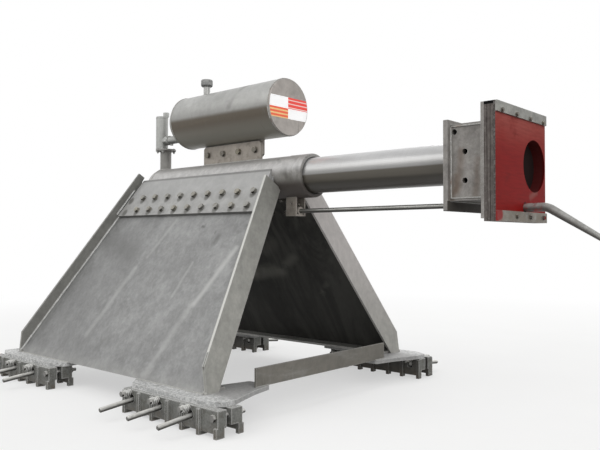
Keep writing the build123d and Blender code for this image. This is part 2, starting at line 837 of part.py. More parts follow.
with BuildPart() as far_rear_base_plate:
    mirror(far_front_base_plate.part, about=Plane.YZ.offset(middle_x))

# Crossbars: flat bars on edge that tie the two side frames at the foot
crossbar_x = plate_front_foot + crossbar_ahead
with BuildPart() as crossbars:
    with BuildSketch(Plane.XY.offset(base_top)):
        with Locations((crossbar_x, 0), (2 * middle_x - crossbar_x, 0)):
            Rectangle(crossbar_thickness, 2 * (tongue_end + crossbar_seat))
    extrude(amount=crossbar_height)

# Mirrored pairs: the near side mirrors the far side
pairs = {
    "side_plate": far_side_plate,
    "front_flange": far_front_flange,
    "rear_flange": far_rear_flange,
    "saddle_plate": far_saddle_plate,
    "front_base_plate": far_front_base_plate,
    "rear_base_plate": far_rear_base_plate,
}
for name, far_piece in pairs.items():
    keep(far_piece.part, f"far_{name}")
    with BuildPart() as near_piece:
        mirror(far_piece.part, about=Plane.XZ)
    keep(near_piece.part, f"near_{name}")

# Turned pairs: a near clamp is the far clamp of the other end, turned about the middle of the base
half_turn = Location((2 * middle_x, 0, 0), (0, 0, 180))
cheeks = (
    ("outer_cheek", far_front_outer_cheek, far_rear_outer_cheek),
    ("inner_cheek", far_front_inner_cheek, far_rear_inner_cheek),
)
for name, far_front, far_rear in cheeks:
    keep(far_front.part, f"far_front_{name}")
    keep(far_rear.part, f"far_rear_{name}")
    for end, far_piece in (("front", far_rear), ("rear", far_front)):
        with BuildPart() as near_piece:
            with Locations(half_turn):
                add(far_piece.part)
        keep(near_piece.part, f"near_{end}_{name}")

# Sets: like pieces on both sides that share a node
with BuildPart() as foot_bars:
    add(far_foot_bar.part)
    mirror(far_foot_bar.part, about=Plane.XZ)

with BuildPart() as clamp_rods:
    add(far_clamp_rods.part)
    with Locations(half_turn):
        add(far_clamp_rods.part)

single = {
    "foot_bars": foot_bars,
    "clamp_rods": clamp_rods,
    "crossbars": crossbars,
    "cylinder_housing": cylinder_housing,
    "housing_dome": housing_dome,
    "housing_collar": housing_collar,
    "guide_bracket": guide_bracket,
    "reservoir_shell": reservoir_shell,
    "reservoir_front_end": reservoir_front_end,
    "reservoir_dome_end": reservoir_dome_end,
    "filler_neck": filler_neck,
    "filler_cap": filler_cap,
    "housing_lug": housing_lug,
    "reservoir_lug": reservoir_lug,
    "stand_pipe": stand_pipe,
    "valve_body": valve_body,
    "ram_tube": ram_tube,
    "guide_rod": guide_rod,
    "head_back_plate": head_back_plate,
    "head_box": head_box,
    "head_front_plate": head_front_plate,
    "pad_backing": pad_backing,
    "striking_pad": striking_pad,
    "pad_strips": pad_strips,
    "bent_bar": bent_bar,
}
for name, piece in single.items():
    keep(piece.part, name)
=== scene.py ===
"""Looks of the sliding buffer stop: steel finishes, bolts, welds, springs and wear. Metres, +Z up."""
import json
import math
import random

import bmesh
import bpy
from mathutils import Matrix, Vector

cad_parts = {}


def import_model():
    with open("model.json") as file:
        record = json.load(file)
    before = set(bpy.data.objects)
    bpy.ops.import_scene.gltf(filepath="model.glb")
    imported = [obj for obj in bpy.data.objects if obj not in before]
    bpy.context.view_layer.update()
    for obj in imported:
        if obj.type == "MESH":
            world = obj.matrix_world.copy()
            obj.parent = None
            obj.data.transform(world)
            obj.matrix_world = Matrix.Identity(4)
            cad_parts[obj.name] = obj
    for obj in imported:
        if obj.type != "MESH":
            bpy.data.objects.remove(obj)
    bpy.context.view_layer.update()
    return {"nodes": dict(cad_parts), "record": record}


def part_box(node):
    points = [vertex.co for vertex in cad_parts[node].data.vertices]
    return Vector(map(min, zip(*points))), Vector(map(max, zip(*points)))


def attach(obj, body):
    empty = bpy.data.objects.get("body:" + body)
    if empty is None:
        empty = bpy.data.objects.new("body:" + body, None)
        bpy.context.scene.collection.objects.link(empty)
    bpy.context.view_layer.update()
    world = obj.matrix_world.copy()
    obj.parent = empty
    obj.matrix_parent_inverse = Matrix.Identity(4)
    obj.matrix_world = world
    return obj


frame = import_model()

FAR, NEAR = 1, -1
SIDES = {FAR: "far", NEAR: "near"}
FIXED, MOVING = "frame", "ram_and_head"

# Places read from the frame
plate_low, plate_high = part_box("far_side_plate")
housing_low, housing_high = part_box("cylinder_housing")
collar_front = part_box("housing_collar")[1].x
reservoir_low, reservoir_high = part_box("reservoir_shell")
disc_low, disc_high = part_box("reservoir_front_end")
box_low, box_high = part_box("head_box")
back_low, back_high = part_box("head_back_plate")
face_low, face_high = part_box("head_front_plate")
pad_low, pad_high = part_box("striking_pad")
strips_low, strips_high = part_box("pad_strips")
lug_low, lug_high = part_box("housing_lug")
upper_lug_low, upper_lug_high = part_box("reservoir_lug")
cap_low, cap_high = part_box("filler_cap")
neck_low, neck_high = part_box("filler_neck")
pipe_low, pipe_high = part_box("stand_pipe")
valve_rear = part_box("valve_body")[0].x
rod_low, rod_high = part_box("guide_rod")
cross_low, cross_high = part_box("crossbars")

# Side frames: the plates' lean and rakes, and heights measured up their slope
LEAN, FRONT_RAKE, REAR_RAKE = (math.radians(angle) for angle in (32.4, 9.6, 14.5))
PLATE_THICKNESS = 0.012
SADDLE_THICKNESS = 0.020
FOOT_LINE = plate_high.y
BASE_TOP = plate_low.z
HOUSING_RADIUS = (housing_high.z - housing_low.z) / 2
HOUSING_Z = (housing_high.z + housing_low.z) / 2
HOUSING_DOME_DEPTH = 0.106
AXIS_SLOPE = (HOUSING_Z - BASE_TOP) / math.cos(LEAN)
SADDLE_BOTTOM = AXIS_SLOPE - 0.230
SADDLE_TOP = AXIS_SLOPE + 0.033
SADDLE_ROWS = (AXIS_SLOPE - 0.106, AXIS_SLOPE - 0.193)
SADDLE_BOLT_COUNT = 9
SADDLE_BOLT_FIRST = -0.057
SADDLE_BOLT_PITCH = 0.118

# Reservoir and head
RESERVOIR_RADIUS = (reservoir_high.z - reservoir_low.z) / 2
RESERVOIR_Z = (reservoir_high.z + reservoir_low.z) / 2
RESERVOIR_DOME_DEPTH = 0.105
DISC_RADIUS = (disc_high.z - disc_low.z) / 2
HEAD_Z = (pad_low.z + pad_high.z) / 2
HOLE_Y, HOLE_Z = 0.122, HEAD_Z + 0.005
RAM_RADIUS = 0.090

# Clamp bolts: places along the track from a cheek's bolt end, and across it
END_BOLT_INSET = 0.024
ROD_INSET = 0.168
ROD_PITCH = 0.204
SPRUNG_OFFSET = 0.010
END_BOLT_Z, SPRUNG_BOLT_Z = 0.080, 0.097
INNER_FACE, OUTER_FACE = 0.696, 0.828
end_places, sprung_places = [], []
for side, name in SIDES.items():
    for end in ("front", "rear"):
        low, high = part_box(f"{name}_{end}_outer_cheek")
        bolt_end = low.x if side == FAR else high.x
        end_places.append((bolt_end + side * END_BOLT_INSET, side))
        for k in range(3):
            sprung_places.append((bolt_end + side * (ROD_INSET + ROD_PITCH * k + SPRUNG_OFFSET), side))


def slope_point(x, up, out, side):
    """A point by a side plate: along the track, up its slope and out from its outer face."""
    y = FOOT_LINE - up * math.sin(LEAN) + out * math.cos(LEAN)
    return Vector((x, side * y, BASE_TOP + up * math.cos(LEAN) + out * math.sin(LEAN)))


def slope_marks(rows, out, side):
    """Marks on a side plate, from rows of two ends, a width and a strength."""
    return [
        (slope_point(x0, up0, out, side), slope_point(x1, up1, out, side), width, share)
        for x0, up0, x1, up1, width, share in rows
    ]


def front_edge(up):
    """Front edge of the side plates at a height up the slope."""
    return plate_high.x - up * math.tan(FRONT_RAKE)


def rear_edge(up):
    """Rear edge of the side plates at a height up the slope."""
    return plate_low.x + up * math.tan(REAR_RAKE)


def chord(radius, off):
    """Half the width of a circle at a distance from its middle."""
    return math.sqrt(max(0.0, radius ** 2 - off ** 2))


def ball_radius(depth, rim):
    """Radius of the ball that a dished end is cut from."""
    return (depth ** 2 + rim ** 2) / (2 * depth)


def feed(tree, socket, value):
    """Give a socket a value or a link."""
    if isinstance(value, bpy.types.NodeSocket):
        tree.links.new(value, socket)
    else:
        socket.default_value = value


def add_node(tree, kind, inputs=None, output=0, **settings):
    """Add a node with its settings and inputs, and return one of its outputs."""
    node = tree.nodes.new("ShaderNode" + kind)
    for name, value in settings.items():
        setattr(node, name, value)
    for name, value in (inputs or {}).items():
        feed(tree, node.inputs[name], value)
    return node.outputs[output]


# Every material made, by its name
finishes = {}


class Finish:
    """A material in the making."""

    def __init__(self, name, color, roughness, metallic, specular=None):
        self.name = name
        self.material = bpy.data.materials.new(name)
        self.material.use_nodes = True
        self.tree = self.material.node_tree
        self.tree.nodes.clear()
        self.output = self.tree.nodes.new("ShaderNodeOutputMaterial")
        self.shader = self.tree.nodes.new("ShaderNodeBsdfPrincipled")
        self.surface = self.shader.outputs[0]
        source = self.tree.nodes.new("ShaderNodeTexCoord")
        self.place = source.outputs["Object"]
        self.normal = source.outputs["Normal"]
        self.color = (*color, 1)
        self.rough = roughness
        self.relief = None
        self.shader.inputs["Metallic"].default_value = metallic
        if specular is not None:
            self.shader.inputs["Specular IOR Level"].default_value = specular

    def add(self, *parts, **settings):
        return add_node(self.tree, *parts, **settings)

    def noise(self, scale, detail=4, roughness=0.55, stretch=None, turn=(0, 0, 0), warp=0):
        """Cloudy noise from 0 to 1, stretched and turned if need be."""
        place = self.place
        if stretch:
            place = self.add("Mapping", {"Vector": place, "Scale": stretch, "Rotation": turn})
        values = {"Vector": place, "Scale": scale, "Detail": detail}
        return self.add("TexNoise", {**values, "Roughness": roughness, "Distortion": warp}, "Fac")

    def cells(self, scale, output):
        """Crystal cells, as in zinc spangle."""
        return self.add("TexVoronoi", {"Vector": self.place, "Scale": scale}, output)

    def ramp(self, factor, low, high, start=0.0, end=1.0):
        """Factor between low and high, mapped smoothly to start and end."""
        values = {"Value": factor, "From Min": low, "From Max": high, "To Min": start, "To Max": end}
        return self.add("MapRange", values, interpolation_type="SMOOTHSTEP")

    def math(self, operation, a, b=0.0):
        """A sum on one or two values."""
        return self.add("Math", {0: a, 1: b}, operation=operation)

    def times(self, a, b):
        return self.math("MULTIPLY", a, b)

    def vector(self, operation, a, b=(0, 0, 0), output=0):
        """A sum on one or two vectors."""
        return self.add("VectorMath", {0: a, 1: b}, output, operation=operation)

    def gap(self, point):
        """Distance from a point."""
        return self.vector("DISTANCE", self.place, point, 1)

    def axis(self, name):
        """One of the object coordinates."""
        return self.add("SeparateXYZ", {0: self.place}, name)

    def at(self, axis, *span):
        """A ramp over one of the object coordinates."""
        return self.ramp(self.axis(axis), *span)

    def looks(self, axis, *span):
        """A ramp over how far the surface looks along an axis, from -1 to 1."""
        return self.ramp(self.add("SeparateXYZ", {0: self.normal}, axis), *span)

    def stroke(self, start, end, width, wobble=0.0):
        """A soft band along a line between two points, 1 on it and 0 past its width."""
        start, along = Vector(start), Vector(end) - Vector(start)
        place = self.place
        if wobble:
            bend = self.times(self.math("SUBTRACT", self.noise(9, 3), 0.5), wobble)
            place = self.vector("ADD", place, bend)
        away = self.vector("SUBTRACT", place, start)
        share = self.math("DIVIDE", self.vector("DOT_PRODUCT", away, along, 1), along.length_squared)
        share = self.math("MINIMUM", self.math("MAXIMUM", share), 1.0)
        nearest = self.add("VectorMath", {0: along, "Scale": share}, operation="SCALE")
        return self.ramp(self.vector("DISTANCE", away, nearest, 1), 0, width, 1, 0)

    def strokes(self, marks, color, wobble, mask=1.0):
        """Lay a colour over along marks: two ends, a width and a strength each."""
        for start, end, width, share in marks:
            mark = self.times(self.stroke(start, end, width, wobble), share)
            self.tint(mark, color, mask)

    def edge(self, radius=0.004):
        """1 on outer edges and 0 on flat faces."""
        bevel = self.add("Bevel", {"Radius": radius}, samples=4)
        flat = self.add("NewGeometry", output="Normal")
        return self.ramp(self.vector("DOT_PRODUCT", bevel, flat, 1), 0.8, 0.995, 1, 0)

    def tint(self, factor, color, share=1.0, blend="MIX"):
        """Lay a colour over by a factor and a share of it."""
        if share != 1.0:
            factor = self.times(factor, share)
        color = (*color, 1) if isinstance(color, tuple) else color
        values = {"Factor": factor, 6: self.color, 7: color}
        self.color = self.add("Mix", values, 2, data_type="RGBA", blend_type=blend)

    def blotches(self, color, share, low, high, *noise, **more):
        """Lay a colour over where a noise runs high."""
        self.tint(self.ramp(self.noise(*noise, **more), low, high, 0, share), color)

    def shade(self, factor, low, high):
        """Multiply the colour by a grey that runs from low to high."""
        self.tint(1.0, self.ramp(factor, 0.25, 0.75, low, high), blend="MULTIPLY")

    def gloss(self, factor, change):
        """Add a change to the roughness, by a factor."""
        self.rough = self.math("ADD", self.rough, self.times(factor, change))

    def set(self, name, value):
        """Set one of the shader's inputs."""
        feed(self.tree, self.shader.inputs[name], value)

    def finish(self, strength=0.0, depth=0.0):
        """Connect what was made and keep the material under its name."""
        self.set("Base Color", self.color)
        self.set("Roughness", self.rough)
        if self.relief is not None:
            values = {"Strength": strength, "Distance": depth, "Height": self.relief}
            self.set("Normal", self.add("Bump", values))
        feed(self.tree, self.output.inputs[0], self.surface)
        finishes[self.name] = self.material


# Finishes
RUST = (0.16, 0.075, 0.035)
ZINC_WHITE = (0.58, 0.58, 0.56)
DEEP_SHADE = (0.040, 0.039, 0.036)
RED_PAINT = (0.25, 0.009, 0.008)


def zinc(name, color, roughness=0.5, metallic=0.3, spangle=0.05, grime=0.4, under=0.6, specular=None):
    """Dull galvanised steel: clouds, crystals, runs, stains, handling marks, bright edges and a painted shade
    on faces that look down.
    """
    look = Finish(name, color, roughness, metallic, specular)
    clouds = look.noise(3.2, 5, 0.6)
    look.shade(clouds, 0.88, 1.1)
    look.shade(look.noise(15, 5, 0.65, warp=0.4), 0.86, 1.1)
    look.shade(look.cells(70, "Color"), 1 - spangle, 1 + spangle)
    runs = look.noise(3.0, 4, 0.6, (9, 9, 0.7))
    look.tint(look.ramp(runs, 0.58, 0.82, 0, 0.22), ZINC_WHITE)
    stain = (color[0] * 0.55, color[1] * 0.53, color[2] * 0.49)
    look.blotches(stain, grime, 0.58, 0.78, 7, 6, 0.65, warp=0.6)
    look.blotches(RUST, 0.5 * grime, 0.69, 0.77, 46, 3, 0.6)
    look.blotches(ZINC_WHITE, 0.25, 0.68, 0.74, 26, 3, 0.7, (5, 5, 0.5), (0.3, 0.7, 0.2))
    look.tint(look.edge(), (0.6, 0.6, 0.58), 0.6)
    # Faces that look down are darkened by the share given: a painted shade.
    look.tint(look.looks("Z", -0.75, -0.05, 1, 0), (0.04, 0.037, 0.032), under)
    look.gloss(clouds, 0.18)
    look.gloss(runs, -0.08)
    grain = look.times(look.noise(420, 3, 0.6), 0.35)
    look.relief = look.math("ADD", grain, look.noise(60, 5, 0.6))
    return look


def recipe(start, bump, *settings):
    """Make a material by the steps of the function below, under its name."""
    def make(steps):
        look = start(steps.__name__, *settings)
        steps(look)
        look.finish(*bump)
        return steps
    return make


def plain_zinc(name, bump, color, *settings, blotches=()):
    """Zinc with no more than one kind of blotches over it."""
    look = zinc(name, color, *settings)
    if blotches:
        look.blotches(*blotches)
    look.finish(*bump)


def coated(name, color, roughness, metallic, bump, shades, blotches=(), painted_shade_tilts=()):
    """A simple coat: shading noises, blotches, a painted shade by how far it looks up or down, and a fine
    grain.
    """
    look = Finish(name, color, roughness, metallic)
    for low, high, *noise in shades:
        look.shade(look.noise(*noise), low, high)
    for row in blotches:
        look.blotches(*row)
    # Darkening by how far a face looks up or down: a painted shade.
    for color, *span in painted_shade_tilts:
        look.tint(look.looks("Z", *span), color)
    strength, depth, *grain = bump
    look.relief = look.noise(*grain)
    look.finish(strength, depth)


@recipe(zinc, (0.2, 0.0007), (0.39, 0.385, 0.355), 0.5, 0.2, 0.03, 0.3)
def flange_steel(look):
    """The long edge plates: greenish on the near side and warmer on the far one, which has a painted light up
    high; faces that look up get a painted light.
    """
    look.tint(look.at("Z", HOUSING_Z - 0.30, HOUSING_Z, 0, 0.28), (0.2, 0.2, 0.18))
    look.tint(look.at("X", -0.75, -0.55, 0.32, 0), (0.17, 0.17, 0.17))
    front = look.at("X", -0.6, -0.4)
    # The far flange's face is lightened up high: a painted light.
    far = look.times(look.at("Y", -0.05, 0.05), front)
    look.tint(far, (0.66, 0.625, 0.605), look.at("Z", BASE_TOP, 0.80, 0.1, 0.92))
    look.shade(look.noise(55, 5, 0.7, (1, 0.6, 0.4)), 0.9, 1.08)
    # Faces that look up are lightened: a painted light.
    look.tint(look.looks("Z", 0.35, 0.48, 0, 0.7), (0.76, 0.76, 0.72), front)
    crack = (slope_point(0.212, 0.0, 0.060, NEAR), slope_point(0.185, 0.16, 0.060, NEAR), 0.009, 0.85)
    look.strokes([crack], (0.08, 0.08, 0.075), 0.006)


@recipe(zinc, (0.2, 0.0008), (0.315, 0.316, 0.312), 0.48, 0.25, 0.025, 0.35, 0, 0.25)
def side_plate_steel(look):
    """The side plates: light runs, dark smudges of handling and a painted deep shade on the inside, where
    faces look down.
    """
    look.shade(look.noise(9, 6, 0.7, (1, 0.8, 0.6), (0, -0.34, 0), 0.5), 0.87, 1.1)
    look.shade(look.noise(48, 5, 0.75, warp=0.4), 0.9, 1.08)
    look.tint(look.at("X", -1.15, -0.55, 0.22, 0), (0.2, 0.2, 0.198))
    light_runs = (
        (-0.02, 0.72, -0.13, 0.41, 0.030, 0.62),
        (-0.15, 0.40, -0.24, 0.03, 0.040, 0.30),
        (-0.29, 0.63, -0.32, 0.44, 0.018, 0.28),
        (-0.60, 0.90, -0.69, 0.66, 0.022, 0.28),
        (-0.75, 0.58, -0.87, 0.17, 0.034, 0.32),
        (-1.33, 0.34, -1.38, 0.10, 0.030, 0.22),
    )
    smudges = (
        (-1.13, 0.76, -0.85, 0.67, 0.120, 0.42),
        (-0.35, 0.86, -0.33, 0.86, 0.013, 0.90),
        (-0.19, 0.79, -0.20, 0.75, 0.032, 0.60),
        (-0.12, 0.86, -0.09, 0.84, 0.030, 0.38),
        (-0.23, 0.82, -0.23, 0.81, 0.010, 0.55),
        (-0.45, 0.55, -0.38, 0.62, 0.080, 0.15),
        (-1.36, 0.12, -1.30, 0.40, 0.060, 0.20),
        (0.150, 0.135, 0.196, 0.00, 0.008, 0.85),
    )
    inside_smears = (
        (-0.70, 0.52, -0.44, 0.56, 0.075, 0.8),
        (-0.44, 0.56, -0.29, 0.65, 0.050, 0.55),
        (-0.50, 0.70, -0.40, 0.76, 0.070, 0.4),
        (-0.20, 0.38, -0.10, 0.48, 0.030, 0.3),
    )
    look.strokes(slope_marks(light_runs, 0, NEAR), (0.56, 0.56, 0.545), 0.03)
    look.strokes(slope_marks(smudges, 0, NEAR), (0.15, 0.15, 0.145), 0.03)
    look.tint(look.at("Z", BASE_TOP, BASE_TOP + 0.06, 0.3, 0), (0.55, 0.54, 0.51), look.noise(25, 4))
    # Faces that look down, on the inside of the leaning plates, get a painted deep shade.
    inside = look.looks("Z", -0.5, -0.2, 1, 0)
    look.tint(inside, DEEP_SHADE, 0.96)
    haze = look.times(look.at("Z", 0.70, 1.05, 0, 0.85), look.ramp(look.noise(7, 5, 0.65), 0.3, 0.7))
    look.tint(haze, (0.13, 0.128, 0.118), inside)
    look.strokes(slope_marks(inside_smears, -PLATE_THICKNESS, FAR), (0.30, 0.295, 0.265), 0.12, inside)
    wiped = look.noise(2.6, 6, 0.7, (2.2, 0.6, 0.6), (0, 0.7, 0.2), 0.6)
    wiped = look.times(look.ramp(wiped, 0.36, 0.66, 0, 0.8), look.at("Z", 0.35, 0.95, 0.35, 1))
    look.tint(wiped, (0.20, 0.197, 0.18), inside)
    look.set("Metallic", look.looks("Z", -0.5, -0.2, 0, 0.25))
    look.gloss(inside, 0.3)


@recipe(zinc, (0.2, 0.0007), (0.385, 0.383, 0.373), 0.46, 0.3, 0.03, 0.35)
def saddle_steel(look):
    """The saddle plates: a painted shadow under each bolt and a painted shadow line along the housing."""
    look.blotches((0.25, 0.245, 0.23), 0.3, 0.5, 0.72, 11, 6, 0.7)
    look.tint(look.at("Z", HOUSING_Z - 0.11, HOUSING_Z - 0.02, 0, 0.35), (0.50, 0.50, 0.50))
    # Just below each bolt, a painted shadow.
    pitches = look.math("DIVIDE", look.math("SUBTRACT", look.axis("X"), SADDLE_BOLT_FIRST), SADDLE_BOLT_PITCH)
    off_bolt = look.math("SUBTRACT", look.math("FRACT", look.math("ADD", pitches, 0.5)), 0.5)
    off_bolt = look.times(off_bolt, SADDLE_BOLT_PITCH)
    for up in SADDLE_ROWS:
        below = look.math("ADD", look.axis("Z"), 0.013 - slope_point(0, up, SADDLE_THICKNESS, NEAR).z)
        square = look.math("ADD", look.times(off_bolt, off_bolt), look.times(below, below))
        look.tint(look.ramp(square, 0.012 ** 2, 0.026 ** 2, 0.75, 0), (0.10, 0.097, 0.085))
    joint_z = slope_point(0, SADDLE_TOP, SADDLE_THICKNESS, NEAR).z
    # Under the weld along the housing, a dark line: a painted shadow.
    look.tint(look.at("Z", joint_z - 0.016, joint_z - 0.009, 0, 0.6), (0.14, 0.137, 0.13))


@recipe(zinc, (0.2, 0.0006), (0.40, 0.39, 0.375), 0.55, 0.2, 0.02, 0.5)
def housing_steel(look):
    """The housing and its collar: wiped steel, oily round the gland, with painted shade below the axis and on
    its top, and a painted light on its near side.
    """
    smears = look.ramp(look.noise(16, 5, 0.7, (1.6, 0.5, 0.5)), 0.46, 0.66, 0, 0.85)
    look.tint(smears, (0.09, 0.082, 0.07), look.at("X", 0.0, collar_front))
    oil = (
        ((-0.005, -0.06, 1.20), (0.03, -0.08, 1.17), 0.014, 0.5),
        ((0.086, -0.105, 1.150), (0.098, -0.105, 1.095), 0.020, 0.7),
        ((0.135, -0.080, 1.185), (0.140, -0.085, 1.175), 0.012, 0.8),
        ((0.165, -0.100, 1.165), (0.170, -0.105, 1.130), 0.016, 0.7),
        ((0.07, -0.110, 1.12), (0.12, -0.11, 1.09), 0.03, 0.5),
    )
    look.strokes(oil, (0.06, 0.055, 0.045), 0.02)
    # The near side above the axis is lightened: a painted light.
    cheek = look.times(look.looks("Y", -0.95, -0.45, 1, 0), look.at("Z", HOUSING_Z, HOUSING_Z + 0.05))
    look.tint(cheek, (0.66, 0.65, 0.64), 0.85)
    look.shade(look.noise(34, 6, 0.75, warp=0.4), 0.80, 1.12)
    # Faces that look up are darkened: a painted shade.
    look.tint(look.looks("Z", 0.65, 0.92, 0, 0.6), (0.26, 0.25, 0.24))
    # Darker from just above the axis down: a painted shade.
    look.tint(look.at("Z", HOUSING_Z - 0.03, HOUSING_Z + 0.055, 0.6, 0), (0.14, 0.13, 0.11))
    look.tint(look.at("Z", HOUSING_Z - 0.055, HOUSING_Z - 0.015, 0.9, 0), (0.062, 0.050, 0.044))
    look.set("Metallic", look.at("Z", HOUSING_Z - 0.055, HOUSING_Z + 0.04, 0.02, 0.15))


@recipe(zinc, (0.15, 0.0006), (0.44, 0.44, 0.425), 0.38, 0.45, 0.02, 0.3)
def reservoir_steel(look):
    """The reservoir: rolled sheet with one dark smear over the top; its brown lower half is a painted
    reflection of the ground, with painted shade and light by height.
    """
    look.blotches((0.2, 0.195, 0.18), 0.3, 0.56, 0.75, 5, 5, 0.7, (6, 0.6, 0.6))
    # Lighter towards the top and darker towards the middle: a painted shade.
    look.tint(look.at("Z", RESERVOIR_Z - 0.02, RESERVOIR_Z + 0.115, 0.5, 0), (0.2, 0.195, 0.18))
    # Below a line a little under the middle, the brown lower half: a painted reflection of the ground.
    drop = look.times(look.math("ADD", look.axis("X"), 0.78), 0.007)
    above_line = look.math("ADD", look.math("SUBTRACT", look.axis("Z"), RESERVOIR_Z - 0.002), drop)
    painted_reflection_belly = look.ramp(above_line, -0.018, 0.008, 0.92, 0)
    look.tint(painted_reflection_belly, (0.093, 0.070, 0.043))
    # The bottom is lightened: a painted light.
    look.tint(look.at("Z", RESERVOIR_Z - 0.125, RESERVOIR_Z - 0.045, 0.85, 0), (0.31, 0.30, 0.26))
    rust = ((-0.80, -0.13, RESERVOIR_Z - 0.040), (-0.45, -0.14, RESERVOIR_Z - 0.030), 0.016, 0.5)
    look.strokes([rust], (0.21, 0.155, 0.10), 0.02)
    drips = look.ramp(look.noise(10, 5, 0.7, (2.5, 0.4, 0.4)), 0.55, 0.7, 0, 0.4)
    look.tint(drips, (0.17, 0.16, 0.135), painted_reflection_belly)
    smear = ((-0.22, -0.06, 1.62), (-0.285, -0.14, 1.50), 0.032, 0.55)
    look.strokes([smear], (0.11, 0.108, 0.098), 0.02)
    look.set("Metallic", look.ramp(above_line, -0.018, 0.008, 0.04, 0.45))


@recipe(zinc, (0.2, 0.0006), (0.54, 0.50, 0.465), 0.5, 0.15, 0.02, 0.3, 0)
def end_disc_steel(look):
    """The reservoir's front end: warm grey, blotched, with drips under the sheets."""
    look.blotches((0.30, 0.27, 0.24), 0.45, 0.52, 0.72, 13, 6, 0.7, warp=0.4)
    drips = look.ramp(look.noise(9, 4, 0.6, (1, 5, 0.5)), 0.56, 0.68, 0, 0.6)
    look.tint(drips, (0.17, 0.15, 0.13), look.at("Z", RESERVOIR_Z - 0.12, RESERVOIR_Z - 0.05, 1, 0))


@recipe(zinc, (0.2, 0.0006), (0.49, 0.495, 0.475), 0.45, 0.3, 0.02, 0.45)
def valve_steel(look):
    """The valve, its fittings and the filler cap: light, with a painted shade on tops and a dirty cap."""
    # Faces that look up are darkened: a painted shade.
    look.tint(look.looks("Z", 0.5, 0.95, 0, 0.75), (0.24, 0.24, 0.23))
    on_cap = look.at("Z", RESERVOIR_Z + RESERVOIR_RADIUS, cap_low.z)
    look.tint(on_cap, (0.22, 0.22, 0.22), look.ramp(look.noise(38, 4, 0.7), 0.35, 0.6, 0.2, 0.7))
    look.tint(on_cap, (0.08, 0.08, 0.078), look.at("Z", cap_low.z + 0.004, cap_low.z + 0.013, 0.8, 0))


@recipe(Finish, (0.15, 0.0004), (0.60, 0.595, 0.57), 0.34, 0.55)
def rod_steel(look):
    """Bright plated bars, drawn along their length and dull in patches, with a painted shade below and a
    painted highlight on top.
    """
    look.shade(look.noise(30, 4, 0.6), 0.8, 1.12)
    look.shade(look.noise(300, 3, 0.6, (1, 0.08, 1)), 0.92, 1.06)
    look.blotches((0.24, 0.21, 0.17), 0.5, 0.6, 0.75, 18, 5, 0.7)
    # A painted shade on faces that look down, and a painted highlight on those that look up.
    look.tint(look.looks("Z", -0.35, 0.5, 0.95, 0), (0.035, 0.032, 0.026))
    look.tint(look.looks("Z", 0.6, 0.85, 0, 0.6), (0.85, 0.84, 0.80))
    look.gloss(look.noise(60, 4), 0.3)
    look.relief = look.noise(250, 3)


@recipe(Finish, (0.25, 0.0005), (0.40, 0.40, 0.38), 0.5, 0.2)
def bent_bar_steel(look):
    """The bent bar: light above and a painted shade below, with red scuffs at the pad."""
    look.shade(look.noise(40, 5, 0.65), 0.72, 1.15)
    # Darker where it looks down: a painted shade.
    look.tint(look.looks("Z", -0.5, 0.5, 0.94, 0), (0.06, 0.052, 0.046))
    scuffs = look.ramp(look.noise(38, 4, 0.6), 0.45, 0.6, 0, 0.8)
    look.tint(scuffs, RED_PAINT, look.at("X", strips_high.x + 0.02, strips_high.x + 0.10, 1, 0))
    look.blotches((0.25, 0.23, 0.2), 0.5, 0.62, 0.74, 22, 5, 0.7)
    look.relief = look.noise(180, 4)


@recipe(Finish, (0.05, 0.0002), (0.60, 0.60, 0.60), 0.3, 0.65)
def polished_ram(look):
    """The ram: finely turned plated steel with wiped oil; greyer above the middle, brown below it and dark
    underneath, a painted reflection and painted shade.
    """
    rings = look.noise(260, 2, 0.5, (1, 0.01, 0.01))
    look.shade(rings, 0.95, 1.04)
    wiped = look.noise(6, 4, 0.6, (0.5, 2, 2))
    look.shade(wiped, 0.84, 1.06)
    # Bands by height, greyer above the middle, brown below it and darkest underneath: a painted reflection
    # and painted shade.
    for low, high, share, color in (
        (0.0, 0.080, 0.75, (0.27, 0.265, 0.255)),
        (-0.010, 0.0, 0.9, (0.080, 0.068, 0.048)),
        (-0.050, -0.036, 0.6, (0.028, 0.025, 0.022)),
    ):
        look.tint(look.at("Z", HOUSING_Z + low, HOUSING_Z + high, share, 0), color)
    look.set("Metallic", look.at("Z", HOUSING_Z - 0.010, HOUSING_Z + 0.03, 0.06, 0.55))
    look.gloss(wiped, 0.1)
    look.relief = rings


